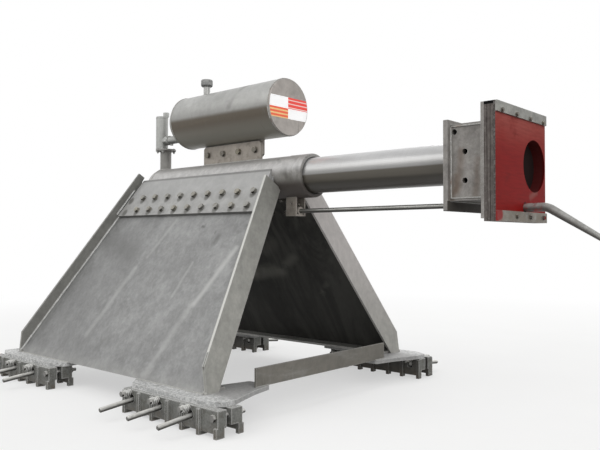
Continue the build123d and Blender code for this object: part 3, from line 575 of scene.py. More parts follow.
@recipe(zinc, (0.7, 0.002), (0.20, 0.202, 0.188), 0.58, 0.2, 0.04, 0.5)
def cast_clamp(look):
    """The clamps: rough castings with lumps of zinc, and dirt low down; a painted light on their tops and a
    painted shade round the end bolts and on their inward faces.
    """
    rough = look.noise(110, 5, 0.75)
    look.shade(rough, 0.68, 1.25)
    look.blotches((0.13, 0.126, 0.108), 0.75, 0.50, 0.62, 38, 5, 0.7, warp=0.5)
    look.tint(look.edge(0.009), (0.70, 0.70, 0.68), 0.75)
    # Faces that look up are lightened: a painted light.
    look.tint(look.looks("Z", 0.5, 0.9, 0, 0.75), (0.66, 0.66, 0.65), look.ramp(rough, 0.35, 0.6))
    # A dark ring round each end bolt: a painted shade.
    for x, side in end_places:
        off_bolt = look.gap((x, side * INNER_FACE, END_BOLT_Z))
        look.tint(look.ramp(off_bolt, 0.018, 0.026, 1, 0), (0.02, 0.02, 0.018), 0.95)
    # The inward faces of the clamps get a painted shade.
    near_shaded_inside = look.times(look.looks("Y", 0.4, 0.9), look.at("Y", -0.1, 0.1, 1, 0))
    look.tint(near_shaded_inside, DEEP_SHADE, 0.8)
    far_shaded_inside = look.times(look.looks("Y", -0.9, -0.4, 1, 0), look.at("Y", -0.1, 0.1))
    look.tint(far_shaded_inside, (0.05, 0.046, 0.04), 0.8)
    dirt = look.ramp(look.noise(30, 5), 0.35, 0.65)
    look.tint(dirt, (0.15, 0.115, 0.085), look.at("Z", 0.0, 0.07, 0.55, 0))
    look.relief = look.math("ADD", look.relief, rough)


@recipe(zinc, (0.8, 0.002), (0.47, 0.475, 0.47), 0.55, 0.2, 0.05, 0.3)
def base_plate_steel(look):
    """The base plates: thick zinc with crusts and spatter, and a painted shade under the side plates."""
    crust = look.noise(70, 6, 0.75)
    look.tint(look.ramp(crust, 0.46, 0.57, 0, 0.85), (0.80, 0.80, 0.79))
    look.blotches((0.17, 0.165, 0.155), 0.5, 0.56, 0.66, 26, 5, 0.7)
    # Inside the foot line, under the leaning side plates, a painted shade.
    across = look.math("ABSOLUTE", look.axis("Y"))
    look.tint(look.ramp(across, FOOT_LINE - 0.06, FOOT_LINE + 0.01, 0.72, 0), (0.34, 0.335, 0.33))
    look.tint(look.edge(0.006), (0.85, 0.85, 0.83), 0.7)
    look.relief = look.math("ADD", look.relief, look.times(crust, 1.5))


@recipe(zinc, (0.3, 0.0009), (0.325, 0.308, 0.29), 0.55, 0.2, 0.04, 0.45, 0.8, 0.2)
def head_steel(look):
    """The plates of the head: grey steel with rusty weeping down from the welds, a painted light on tops, a
    painted shadow under the box and a painted shade in the hole.
    """
    look.shade(look.noise(24, 6, 0.75, warp=0.3), 0.72, 1.2)
    # Faces that look up are lightened: a painted light.
    look.tint(look.looks("Z", 0.6, 0.95, 0, 0.75), (0.42, 0.42, 0.415))
    weeping = (
        ((1.105, -0.176, 1.14), (1.085, -0.176, 0.98), 0.026, 0.45),
        ((1.075, -0.176, 1.03), (1.070, -0.176, 0.95), 0.026, 0.6),
        ((1.180, -0.176, 1.10), (1.165, -0.176, 0.96), 0.030, 0.4),
        ((1.10, 0.176, 1.12), (1.11, 0.176, 0.97), 0.04, 0.5),
    )
    look.strokes(weeping, (0.15, 0.095, 0.06), 0.05)
    look.blotches((0.33, 0.32, 0.30), 0.45, 0.5, 0.68, 9, 5, 0.7)
    # The back plate's face below the box gets a painted shadow.
    between = look.times(
        look.at("X", back_high.x - 0.002, back_high.x - 0.001),
        look.at("X", face_low.x + 0.001, face_low.x + 0.002, 1, 0),
    )
    look.tint(between, (0.055, 0.048, 0.040), look.at("Z", box_low.z - 0.001, box_low.z + 0.001, 0.9, 0))
    # Inside the hole through the front plate, a painted shade.
    hole = look.stroke((face_low.x, HOLE_Y, HOLE_Z), (face_high.x + 0.002, HOLE_Y, HOLE_Z), 0.15)
    dark = look.times(look.ramp(hole, 0.08, 0.2), look.at("X", face_high.x - 0.001, face_high.x - 0.0002))
    look.tint(dark, (0.012, 0.005, 0.0045))
    look.set("Metallic", look.math("SUBTRACT", 0.2, look.times(dark, 0.2)))
    look.gloss(dark, 0.4)


def bolt_steel(name, color, yellow, dirt):
    """Bolts: grey plating, some of it yellowish, greasy or rusty, with a painted highlight on top and a
    painted shade below.
    """
    look = Finish(name, color, 0.45, 0.4)
    look.blotches((0.40, 0.345, 0.21), yellow, 0.45, 0.62, 5, 2)
    look.blotches((0.12, 0.085, 0.055), dirt, 0.5, 0.68, 60, 4)
    look.shade(look.noise(150, 3), 0.8, 1.15)
    # A painted highlight on faces that look up, and a painted shade on those that look down.
    look.tint(look.looks("Z", 0.66, 0.92, 0, 0.75), (0.80, 0.79, 0.72))
    look.tint(look.looks("Z", -0.75, 0.15, 0.9, 0), (0.03, 0.028, 0.022))
    look.tint(look.edge(0.0015), (0.58, 0.57, 0.52), 0.4)
    look.relief = look.noise(300, 3)
    look.finish(0.25, 0.0004)


@recipe(Finish, (0.3, 0.0006), RED_PAINT, 0.5, 0.0, 0.06)
def red_pad(look):
    """The pad: brushed red paint, dusty above, with its cut edges left bare."""
    dust = look.at("Z", HEAD_Z + 0.01, HEAD_Z + 0.20, 0, 0.95)
    look.tint(dust, (0.42, 0.115, 0.098), look.ramp(look.noise(8, 5), 0.2, 0.7, 0.7, 1))
    brush = look.noise(40, 4, 0.6, (1, 0.25, 3))
    look.shade(brush, 0.86, 1.12)
    look.blotches((0.10, 0.006, 0.006), 0.4, 0.56, 0.75, 9, 5, 0.6)
    look.blotches((0.2, 0.17, 0.15), 0.7, 0.71, 0.75, 75, 4, 0.7)
    scuff = ((1.278, 0.08, 0.955), (1.278, 0.15, 0.985), 0.022, 0.5)
    look.strokes([scuff], (0.3, 0.16, 0.14), 0.03)
    sides = look.looks("X", 0.3, 0.6, 1, 0)
    off_hole = look.gap((pad_high.x, HOLE_Y, HOLE_Z))
    outer = look.times(sides, look.ramp(off_hole, 0.125, 0.14))
    look.tint(outer, (0.10, 0.088, 0.082))
    look.tint(outer, (0.26, 0.25, 0.24), look.ramp(look.noise(120, 4, 0.7), 0.5, 0.6, 0, 0.6))
    # The wall of the hole is darkened: a painted shade over the red paint.
    shaded_hole_wall = look.times(sides, look.ramp(off_hole, 0.125, 0.14, 1, 0))
    look.tint(shaded_hole_wall, (0.055, 0.003, 0.003), 0.85)
    look.gloss(dust, 0.3)
    look.relief = brush


@recipe(zinc, (0.25, 0.0006), (0.34, 0.338, 0.31), 0.5, 0.25, 0.03, 0.55)
def pad_strip_steel(look):
    """The strips over the pad: bare steel, with red paint on their lower left corner and a painted light on
    faces that look up.
    """
    look.shade(look.noise(30, 5, 0.7), 0.72, 1.2)
    grime = look.ramp(look.noise(26, 5, 0.7), 0.3, 0.6, 0.3, 0.85)
    look.tint(grime, (0.21, 0.178, 0.14), look.at("Z", HEAD_Z - 0.05, HEAD_Z, 1, 0))
    # Faces that look up are lightened: a painted light.
    look.tint(look.looks("Z", 0.6, 0.95, 0, 0.7), (0.6, 0.6, 0.58))
    low = strips_low.z
    spill = look.stroke((1.285, -0.236, low + 0.02), (1.285, -0.215, low + 0.024), 0.040, 0.04)
    look.tint(look.ramp(spill, 0.12, 0.6), RED_PAINT)


@recipe(Finish, (0.5, 0.0008), (0.15, 0.132, 0.122), 0.8, 0.0, 0.08)
def grey_laminate(look):
    """The backing: layered grey rubber and cloth, with red in the recess under a painted shade, a painted
    light on tops and a painted shadow under the top strip.
    """
    plies = look.noise(420, 2, 0.5, (1, 0.02, 0.02))
    look.shade(plies, 0.7, 1.25)
    look.shade(look.noise(45, 5, 0.65), 0.75, 1.25)
    look.blotches((0.27, 0.26, 0.25), 0.5, 0.56, 0.66, 90, 4, 0.7)
    # Faces that look up are lightened: a painted light.
    look.tint(look.looks("Z", 0.6, 0.95, 0, 0.4), (0.35, 0.34, 0.33))
    # Above the pad's top edge, under the strip, a near black band: a painted shadow.
    look.tint(look.at("Z", pad_high.z - 0.0125, pad_high.z - 0.0115), (0.008, 0.008, 0.008))
    # Round the hole, red paint darkened near black: real red paint under a painted shade.
    flat = look.vector("MULTIPLY", look.place, (0, 1, 1))
    off_hole = look.vector("DISTANCE", flat, (0, HOLE_Y, HOLE_Z), 1)
    look.tint(look.ramp(off_hole, 0.115, 0.13, 0.96, 0), (0.075, 0.006, 0.006))
    look.relief = plies


def reflector(name, painted_glow, color, second=None, pitch=0.02, share=0.0):
    """Reflective sheet: prism cells, plain or in level stripes; the light they return is a painted glow of
    emission.
    """
    look = Finish(name, color, 0.3, 0.0)
    if second:
        height = look.math("DIVIDE", look.math("SUBTRACT", look.axis("Z"), RESERVOIR_Z), pitch)
        height = look.math("FRACT", height)
        look.tint(look.ramp(height, 1 - share - 0.04, 1 - share + 0.04), second)
        look.tint(look.ramp(height, 0.95, 1.0), color)
    prisms = look.cells(260, "Distance")
    look.shade(prisms, 1.02, 0.93)
    look.shade(look.noise(30, 4), 0.95, 1.02)
    # The sheet glows by emission: a painted glow for the light it returns.
    look.set("Emission Color", look.color)
    look.set("Emission Strength", painted_glow)
    look.relief = prisms
    look.finish(0.12, 0.0003)


plain_zinc("galvanised_steel", (0.25, 0.0008), (0.35, 0.345, 0.325))
plain_zinc("pipe_steel", (0.2, 0.0006), (0.30, 0.293, 0.275), 0.5, 0.3, 0.02, 0.5)
plain_zinc(
    "crossbar_steel", (0.3, 0.0008), (0.20, 0.188, 0.164), 0.55, 0.2, 0.03, 0.4,
    blotches=((0.36, 0.355, 0.335), 0.45, 0.5, 0.7, 6, 5, 0.7, (1, 0.5, 2)),
)
plain_zinc(
    "lug_steel", (0.3, 0.0008), (0.40, 0.36, 0.315), 0.55, 0.2, 0.03, 0.5,
    blotches=((0.13, 0.115, 0.095), 0.5, 0.5, 0.7, 22, 5, 0.7),
)
# Weld beads are darkened where they look down: a painted shade.
coated(
    "weld_steel", (0.47, 0.465, 0.44), 0.45, 0.35, (0.3, 0.0005, 500, 3), [(0.7, 1.15, 120, 4, 0.6)],
    [(RUST, 0.6, 0.6, 0.75, 14, 4)], [((0.05, 0.045, 0.04), -0.9, -0.2, 0.8, 0)],
)
coated(
    "bright_weld_steel", (0.80, 0.80, 0.78), 0.5, 0.1, (0.3, 0.0005, 500, 3), [(0.75, 1.1, 60, 4, 0.6)],
    [((0.4, 0.4, 0.38), 0.6, 0.55, 0.72, 8, 4)],
)
coated(
    "spring_steel", (0.78, 0.78, 0.76), 0.32, 0.4, (0.2, 0.0003, 400, 3), [(0.8, 1.1, 150, 3, 0.6)],
    [((0.3, 0.29, 0.25), 0.4, 0.58, 0.7, 40, 4)],
)
coated("dark_rubber", (0.018, 0.017, 0.016), 0.55, 0.0, (0.3, 0.0004, 200, 3), [(0.7, 1.4, 90, 4)])
# The guide rod is darkened on its top and its underside: a painted shade.
coated(
    "guide_rod_steel", (0.30, 0.298, 0.28), 0.34, 0.55, (0.15, 0.0003, 250, 3, 0.55, (0.2, 1, 1)),
    [(0.8, 1.12, 14, 4, 0.6, (0.4, 1, 1))],
    painted_shade_tilts=[((0.07, 0.066, 0.06), 0.35, 0.75, 0, 0.6), ((0.03, 0.028, 0.024), -0.55, 0.05, 0.9, 0)],
)
bolt_steel("bolt_steel", (0.33, 0.325, 0.30), 0.35, 0.5)
# A darker copy with more dirt for nuts and bolts that sit in shade; the darker base colour is a painted
# shade.
bolt_steel("dark_bolt_steel", (0.19, 0.175, 0.15), 0.3, 0.7)

# Nodes whose finish isn't their slot's, by the ends of their names
SPECIAL = {
    "_side_plate": "side_plate_steel",
    "_saddle_plate": "saddle_steel",
    "_flange": "flange_steel",
    "_base_plate": "base_plate_steel",
    "crossbars": "crossbar_steel",
    "_lug": "lug_steel",
    "guide_bracket": "lug_steel",
    "guide_rod": "guide_rod_steel",
    "stand_pipe": "pipe_steel",
    "reservoir_front_end": "end_disc_steel",
    "head_back_plate": "head_steel",
    "head_box": "head_steel",
    "head_front_plate": "head_steel",
    "pad_strips": "pad_strip_steel",
    "bent_bar": "bent_bar_steel",
}

BEVEL_WIDTH = {"cast_clamp": 0.004, "red_pad": 0.0012, "grey_laminate": 0.0008, "rod_steel": 0.0008}
PLAIN_BEVEL = 0.0015
for row in frame["record"]["subparts"]:
    node = frame["nodes"][row["node"]]
    own = [name for tail, name in SPECIAL.items() if row["node"].endswith(tail)]
    for slot in node.material_slots:
        slot.link = "OBJECT"
        slot.material = finishes[own[0] if own else row["material_slot"]]
    bevel = node.modifiers.new("edges", "BEVEL")
    bevel.width = BEVEL_WIDTH.get(row["material_slot"], PLAIN_BEVEL)
    bevel.segments = 2
    bevel.limit_method = "ANGLE"
    bevel.angle_limit = math.radians(40)

# Tools for the small pieces
AHEAD, UP = Vector((1, 0, 0)), Vector((0, 0, 1))


def facing(point, direction):
    """A place at a point whose Z axis looks in a direction."""
    turn = Vector(direction).to_track_quat("Z", "X").to_matrix().to_4x4()
    return Matrix.Translation(Vector(point)) @ turn


def ring(center, side, over, count):
    """Points round a centre, from two arms at right angles."""
    angles = [2 * math.pi * k / count for k in range(count)]
    return [center + side * math.cos(a) + over * math.sin(a) for a in angles]


def circle(center, radius, normal, count):
    """Points round a circle that looks along a normal."""
    turn = facing(center, normal).to_3x3()
    return ring(Vector(center), turn.col[0] * radius, turn.col[1] * radius, count)


def loft(bm, rings, closed=False):
    """Join rings of as many points each, and cap the ends unless they meet."""
    made = [[bm.verts.new(point) for point in points] for points in rings]
    pairs = list(zip(made, made[1:]))
    if closed:
        pairs.append((made[-1], made[0]))
    for a, b in pairs:
        for i in range(len(a)):
            bm.faces.new((a[i - 1], a[i], b[i], b[i - 1]))
    if not closed:
        bm.faces.new(list(reversed(made[0])))
        bm.faces.new(made[-1])


def turned(bm, place, profile, sides=24, closed=False):
    """A turned shape about the place's Z axis, from a list of radius and height."""
    rings = []
    for radius, height in profile:
        flat = ring(UP * height, Vector((radius, 0, 0)), Vector((0, radius, 0)), sides)
        rings.append([place @ point for point in flat])
    loft(bm, rings, closed)


def hexagon(bm, place, flats, low, high, phase):
    """A hexagon head or nut with its corners turned off at both ends."""
    sides, corner = 24, flats / 2 / math.cos(math.pi / 6)
    chamfer = 0.12 * (high - low)
    rings = []
    for height, limit in ((low, 0.93), (low + chamfer, 1), (high - chamfer, 1), (high, 0.93)):
        points = []
        for i in range(sides):
            angle = 2 * math.pi * i / sides
            reach = flats / 2 / math.cos((angle + math.pi / 6) % (math.pi / 3) - math.pi / 6)
            reach = min(reach, corner * limit)
            turn = angle + phase
            points.append(place @ Vector((reach * math.cos(turn), reach * math.sin(turn), height)))
        rings.append(points)
    loft(bm, rings)


def threaded(bm, place, radius, low, high, pitch=0.002, sides=20):
    """A threaded end, from low to high, with its tip cut to a cone."""
    profile = [(radius, low)]
    for i in range(int((high - low) / pitch)):
        profile += [(radius * 0.9, low + (i + 0.5) * pitch), (radius, low + (i + 1) * pitch)]
    profile.append((radius * 0.8, high + pitch))
    turned(bm, place, profile, sides)


WASHER = ((0.62, 0.0), (0.63, 0.0008), (0.61, 0.0028))
WASHER_TOP = 0.0026


def on_washer(bm, place, flats, height, dice):
    """A hexagon on a washer, turned as it happened to be left."""
    phase = dice.uniform(0, math.pi / 3)
    turned(bm, place, [(flats * share, rise) for share, rise in WASHER], 28)
    hexagon(bm, place, flats, WASHER_TOP, WASHER_TOP + height, phase)


def bolt(bm, place, flats, dice):
    """A hexagon bolt head on a washer."""
    height = 0.42 * flats
    on_washer(bm, place, flats, height, dice)
    turned(bm, place, [(flats * 0.3, height), (flats * 0.27, height + 0.0034)], 20)


def nut(bm, place, flats, dice, tail=0.012):
    """A nut on a washer, with the end of its bolt."""
    height = 0.5 * flats
    on_washer(bm, place, flats, height, dice)
    threaded(bm, place, flats * 0.3, height, height + tail)


WELD_STEP = 0.0034
WELD_SIDES = 7


def bead(bm, path, radius, dice, closed=False):
    """A weld bead along a path: a bar with the steps and small wobbles of a weld."""
    points = [Vector(p) for p in path]
    if closed:
        points.append(points[0])
    samples = []
    for a, b in zip(points, points[1:]):
        steps = max(1, round((b - a).length / WELD_STEP))
        samples += [a.lerp(b, i / steps) for i in range(steps)]
    if not closed:
        samples.append(points[-1])
    count = len(samples)
    rings = []
    drift = Vector((0, 0, 0))
    for i, point in enumerate(samples):
        before = samples[i - 1] if i or closed else point
        after = samples[(i + 1) % count] if i < count - 1 or closed else point
        along = (after - before).normalized()
        side = along.cross(Vector((0.31, 0.52, 0.79))).normalized()
        swell = radius * (1 + (0.10 if i % 2 else -0.07) + dice.uniform(-0.06, 0.06))
        drift = drift * 0.8 + Vector([dice.uniform(-1, 1) for _ in range(3)]) * radius * 0.06
        if not closed and i in (0, count - 1):
            swell *= 0.6
        rings.append(ring(point + drift, side * swell, along.cross(side) * swell, WELD_SIDES))
    loft(bm, rings, closed)


def placed(name, data):
    """A new object in the scene."""
    made = bpy.data.objects.new(name, data)
    bpy.context.scene.collection.objects.link(made)
    return made


def meshed(name, bm, material):
    """A new object in the scene, of a mesh and a material."""
    mesh = bpy.data.meshes.new(name)
    bm.to_mesh(mesh)
    bm.free()
    mesh.materials.append(finishes[material])
    return placed(name, mesh)


def finish_piece(name, bm, material, body=FIXED, smooth_angle=35):
    """Make a piece of a mesh, smooth it and let it ride on its body."""
    bmesh.ops.recalc_face_normals(bm, faces=bm.faces)
    piece = meshed(name, bm, material)
    piece.data.polygons.foreach_set("use_smooth", [True] * len(piece.data.polygons))
    piece.data.set_sharp_from_angle(angle=math.radians(smooth_angle))
    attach(piece, body)


# Bolts through the saddle plates
SADDLE_BOLT_FLATS = 0.030
for side, name in SIDES.items():
    dice = random.Random(11 + side)
    outward = Vector((0, side * math.cos(LEAN), math.sin(LEAN)))
    heads, nuts = bmesh.new(), bmesh.new()
    for up in SADDLE_ROWS:
        for i in range(SADDLE_BOLT_COUNT):
            x = SADDLE_BOLT_FIRST - i * SADDLE_BOLT_PITCH + dice.uniform(-0.0015, 0.0015)
            bolt(heads, facing(slope_point(x, up, SADDLE_THICKNESS, side), outward), SADDLE_BOLT_FLATS, dice)
            nut(nuts, facing(slope_point(x, up, -PLATE_THICKNESS, side), -outward), SADDLE_BOLT_FLATS, dice)
    finish_piece(f"{name}_saddle_bolts", heads, "bolt_steel")
    finish_piece(f"{name}_saddle_nuts", nuts, "dark_bolt_steel")

# Bolts through the lugs under the reservoir
LUG_BOLT_FLATS = 0.029
LUG_BOLT_INSET, LUG_BOLT_PITCH = 0.040, 0.129
LUG_BOLT_Z = lug_high.z - 0.047
dice = random.Random(5)
lug_bolts = bmesh.new()
for i in range(4):
    x = lug_high.x - LUG_BOLT_INSET - LUG_BOLT_PITCH * i
    bolt(lug_bolts, facing((x, lug_low.y, LUG_BOLT_Z), (0, -1, 0)), LUG_BOLT_FLATS, dice)
    nut(lug_bolts, facing((x, upper_lug_high.y, LUG_BOLT_Z), (0, 1, 0)), LUG_BOLT_FLATS, dice)
finish_piece("lug_bolts", lug_bolts, "dark_bolt_steel")

# Bolts of the pad's strips. The bent bar stands in for one.
STRIP_BOLT_FLATS = 0.015
STRIP_BOLTS_Y = (-0.195, -0.065, 0.065, 0.195)
UPPER_STRIP_Z, LOWER_STRIP_Z = strips_high.z - 0.033, strips_low.z + 0.021
strip_bolts, red_bolts = bmesh.new(), bmesh.new()
for z, places in ((UPPER_STRIP_Z, STRIP_BOLTS_Y), (LOWER_STRIP_Z, STRIP_BOLTS_Y[1:])):
    for y in places:
        painted = (y, z) == (STRIP_BOLTS_Y[-1], LOWER_STRIP_Z)
        heads = red_bolts if painted else strip_bolts
        bolt(heads, facing((strips_high.x, y, z), AHEAD), STRIP_BOLT_FLATS, dice)
        nut(strip_bolts, facing((face_low.x, y, z), -AHEAD), STRIP_BOLT_FLATS, dice, 0.008)
finish_piece("pad_strip_bolts", strip_bolts, "dark_bolt_steel", MOVING)
finish_piece("painted_strip_bolt", red_bolts, "red_pad", MOVING)

# Coil springs over the stacks of the sprung bolts
SPRING_LENGTH = 0.040
SPRING_TURNS = 4
SPRING_RADIUS = 0.0122
SPRING_WIRE = 0.0030
springs = bmesh.new()
for x, side in sprung_places:
    rings = []
    steps = SPRING_TURNS * 22
    for i in range(steps + 1):
        angle = 2 * math.pi * SPRING_TURNS * i / steps
        y = OUTER_FACE + SPRING_WIRE + (SPRING_LENGTH - 2 * SPRING_WIRE) * i / steps
        radial = Vector((math.cos(angle), 0, math.sin(angle)))
        center = Vector((x, side * y, SPRUNG_BOLT_Z)) + radial * SPRING_RADIUS
        rings.append(ring(center, radial * SPRING_WIRE, Vector((0, SPRING_WIRE, 0)), 8))
    loft(springs, rings)
finish_piece("clamp_springs", springs, "spring_steel")

# Threads on the clamp bolts: radius, and start and end from the cheek's inner face
SPRUNG_THREAD = (0.0073, 0.011, 0.056)
END_THREAD = (0.0083, 0.013, 0.032)
threads = bmesh.new()
for places, z, thread in (
    (sprung_places, SPRUNG_BOLT_Z, SPRUNG_THREAD),
    (end_places, END_BOLT_Z, END_THREAD),
):
    for x, side in places:
        threaded(threads, facing((x, side * INNER_FACE, z), (0, -side, 0)), *thread)
finish_piece("clamp_bolt_threads", threads, "rod_steel", smooth_angle=60)

# Weld beads of the side frames, and spots at their feet
SEAM_TOP = AXIS_SLOPE - 0.04
for side, name in SIDES.items():
    dice = random.Random(40 + side)
    welds, seams = bmesh.new(), bmesh.new()
    for edge in (front_edge, rear_edge):
        for bm, low, out, radius in (
            (seams, 0.0, 0.001, 0.0065),
            (seams, SADDLE_BOTTOM + 0.01, SADDLE_THICKNESS + 0.001, 0.0055),
            (welds, 0.03, -PLATE_THICKNESS - 0.001, 0.0045),
        ):
            bead(bm, [slope_point(edge(up), up, out, side) for up in (low, SEAM_TOP)], radius, dice)
    foot_y = side * (FOOT_LINE + 0.001)
    rear_base_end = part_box(f"{name}_rear_base_plate")[1].x
    front_base_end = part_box(f"{name}_front_base_plate")[0].x
    for start, stop in ((plate_low.x, rear_base_end), (front_base_end, plate_high.x)):
        bead(welds, [(start, foot_y, BASE_TOP), (stop, foot_y, BASE_TOP)], 0.004, dice)
    flange_low, flange_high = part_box(f"{name}_front_flange")
    flange_outside = flange_high.y if side == FAR else flange_low.y
    for spot, length, rise, radius in (
        (slope_point(rear_edge(0) + 0.012, 0.004, 0.004, side), 0.012, 0.004, 0.007),
        (slope_point(front_edge(0) - 0.004, 0.004, 0.004, side), 0.014, 0.003, 0.0085),
        (Vector((front_edge(0) + 0.004, flange_outside, BASE_TOP + 0.003)), 0.012, 0.001, 0.008),
    ):
        bead(welds, [spot, spot + Vector((length, 0, rise))], radius, dice)
    z = slope_point(0, SADDLE_TOP, 0.01, side).z
    y = side * (chord(HOUSING_RADIUS, z - HOUSING_Z) + 0.002)
    ends = [(rear_edge(SADDLE_TOP) + 0.05, y, z), (front_edge(SADDLE_TOP) - 0.016, y, z)]
    bead(welds, ends, 0.0045, dice)
    finish_piece(f"{name}_frame_welds", welds, "weld_steel")
    finish_piece(f"{name}_flange_seams", seams, "bright_weld_steel")

# Weld beads of the housing, the reservoir and what stands on them
PIPE_RADIUS = 0.034
BRANCH_RADIUS = 0.024
BRANCH_Z = pipe_high.z + 0.055
dice = random.Random(77)
welds, collar_weld = bmesh.new(), bmesh.new()
bead(welds, circle((housing_low.x, 0, HOUSING_Z), HOUSING_RADIUS, AHEAD, 96), 0.0035, dice, True)
collar_root = circle((housing_high.x, 0, HOUSING_Z), HOUSING_RADIUS + 0.0005, AHEAD, 96)
bead(collar_weld, collar_root, 0.0016, dice, True)
finish_piece("collar_weld", collar_weld, "housing_steel")
bead(welds, circle((reservoir_low.x, 0, RESERVOIR_Z), RESERVOIR_RADIUS, AHEAD, 110), 0.003, dice, True)
bead(welds, circle((disc_low.x + 0.001, 0, RESERVOIR_Z), DISC_RADIUS + 0.002, AHEAD, 110), 0.003, dice, True)
neck_x, neck_radius = (neck_low.x + neck_high.x) / 2, (neck_high.x - neck_low.x) / 2
neck_foot = circle((neck_x, 0, 0), neck_radius + 0.001, UP, 40)
for point in neck_foot:
    point.z = RESERVOIR_Z + chord(RESERVOIR_RADIUS, point.y) + 0.001
bead(welds, neck_foot, 0.0035, dice, True)
pipe_x = (pipe_low.x + pipe_high.x) / 2
pipe_foot = circle((pipe_x, 0, 0), PIPE_RADIUS + 0.001, UP, 48)
ball = ball_radius(HOUSING_DOME_DEPTH, HOUSING_RADIUS)
for point in pipe_foot:
    back = housing_low.x - point.x
    rise = chord(HOUSING_RADIUS, point.y)
    if back > 0:
        rise = chord(ball, math.hypot(back + ball - HOUSING_DOME_DEPTH, point.y))
    point.z = HOUSING_Z + rise + 0.001
bead(welds, pipe_foot, 0.004, dice, True)
housing_top = HOUSING_Z + HOUSING_RADIUS
for x in (lug_low.x, lug_high.x):
    bead(welds, [(x, lug_low.y, housing_top), (x, lug_high.y, housing_top)], 0.0035, dice)
for y in (lug_low.y, lug_high.y):
    z = HOUSING_Z + chord(HOUSING_RADIUS, y)
    bead(welds, [(lug_low.x, y, z), (lug_high.x, y, z)], 0.0035, dice)
for y in (upper_lug_low.y, upper_lug_high.y):
    z = RESERVOIR_Z - chord(RESERVOIR_RADIUS, y)
    bead(welds, [(lug_low.x, y, z), (lug_high.x, y, z)], 0.0035, dice)
branch_seam = circle((0, 0, BRANCH_Z), BRANCH_RADIUS + 0.001, AHEAD, 40)
ball = ball_radius(RESERVOIR_DOME_DEPTH, RESERVOIR_RADIUS)
for point in branch_seam:
    rim = math.hypot(point.y, point.z - RESERVOIR_Z)
    point.x = reservoir_low.x - RESERVOIR_DOME_DEPTH + ball - chord(ball, rim) - 0.001
bead(welds, branch_seam, 0.003, dice, True)
finish_piece("vessel_welds", welds, "weld_steel")

# Weld beads of the head and the roots of the ram and the guide rod
WEB_INSET = 0.010
RAM_ROOT_RADIUS, ROD_ROOT_RADIUS = 0.091, 0.0125
guide_z = (rod_low.z + rod_high.z) / 2
welds = bmesh.new()
for side in SIDES:
    y = side * (box_high.y + 0.0005)
    left, right = box_low.x + 0.003, box_high.x - 0.001
    top, bottom = box_high.z - WEB_INSET, box_low.z + WEB_INSET
    bead(welds, [(right, y, top), (left, y, top), (left, y, bottom), (right, y, bottom)], 0.0038, dice)
    bead(welds, [(right, y, box_low.z), (right, y, box_high.z)], 0.0035, dice)
for z in (box_low.z, box_high.z):
    for x in (box_low.x, box_high.x):
        bead(welds, [(x, box_low.y, z), (x, box_high.y, z)], 0.004, dice)
bead(welds, circle((back_low.x, 0, HOUSING_Z), RAM_ROOT_RADIUS, AHEAD, 84), 0.0035, dice, True)
bead(welds, circle((back_low.x, 0, guide_z), ROD_ROOT_RADIUS, AHEAD, 28), 0.002, dice, True)
finish_piece("head_welds", welds, "weld_steel", MOVING)

# Crossbar welds on the tongues of the base plates
tongue_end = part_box("far_front_base_plate")[0].y
BAR_THICKNESS = 0.010
welds = bmesh.new()
for x in (cross_low.x, cross_high.x - BAR_THICKNESS):
    for side in SIDES:
        for face in (x, x + BAR_THICKNESS):
            bead(welds, [(face, side * y, BASE_TOP + 0.001) for y in (tongue_end, cross_high.y)], 0.003, dice)
finish_piece("crossbar_welds", welds, "weld_steel")

# Grip ribs and crown of the filler cap
RIB_COUNT = 36
cap_x, cap_radius = (cap_low.x + cap_high.x) / 2, (cap_high.x - cap_low.x) / 2
rib_ends = [(cap_low.z + 0.007, 0.0008), (cap_low.z + 0.010, 0.0018)]
rib_ends += [(cap_high.z - 0.007, 0.0018), (cap_high.z - 0.0035, 0.0008)]
grip = bmesh.new()
for outward in ring(Vector(), AHEAD, Vector((0, 1, 0)), RIB_COUNT):
    rings = []
    for z, size in rib_ends:
        center = Vector((cap_x, 0, z)) + outward * (cap_radius - 0.0004)
        rings.append(ring(center, outward * size, outward.cross(UP) * size, 6))
    loft(grip, rings)
crown = [(0.024, -0.002), (0.024, 0.0012), (0.0215, 0.0022), (0.019, 0.0008), (0.012, 0.0004)]
turned(grip, Matrix.Translation((cap_x, 0, cap_high.z)), crown, 48)
finish_piece("filler_cap_grip", grip, "valve_steel")

# Fittings of the valve: flange bolts, union, drain plug and rings
VALVE_RADIUS = 0.037
VALVE_HEIGHT = 0.211
FLANGE_BOLT_FLATS, FLANGE_BOLT_REACH, FLANGE_THICKNESS = 0.013, 0.050, 0.010
flange_z = pipe_high.z
valve_x = valve_rear + VALVE_RADIUS
fittings = bmesh.new()
for angle in (60, 120, 240, 300):
    x = pipe_x + FLANGE_BOLT_REACH * math.cos(math.radians(angle))
    y = FLANGE_BOLT_REACH * math.sin(math.radians(angle))
    bolt(fittings, facing((x, y, flange_z), UP), FLANGE_BOLT_FLATS, dice)
    nut(fittings, facing((x, y, flange_z - FLANGE_THICKNESS), -UP), FLANGE_BOLT_FLATS, dice, 0.006)
union_x = valve_x + VALVE_RADIUS + 0.012
union = facing((union_x, 0, BRANCH_Z), AHEAD)
union_ring = [(BRANCH_RADIUS + out, z) for out, z in ((0, 0.020), (0.005, 0.022), (0.005, 0.034), (0, 0.036))]
hexagon(fittings, union, 2 * BRANCH_RADIUS + 0.008, 0, 0.022, 0.26)
turned(fittings, union, union_ring, 48)
drain = facing((union_x + 0.05, 0, BRANCH_Z - BRANCH_RADIUS + 0.003), -UP)
hexagon(fittings, drain, 0.017, 0, 0.012, 0.2)
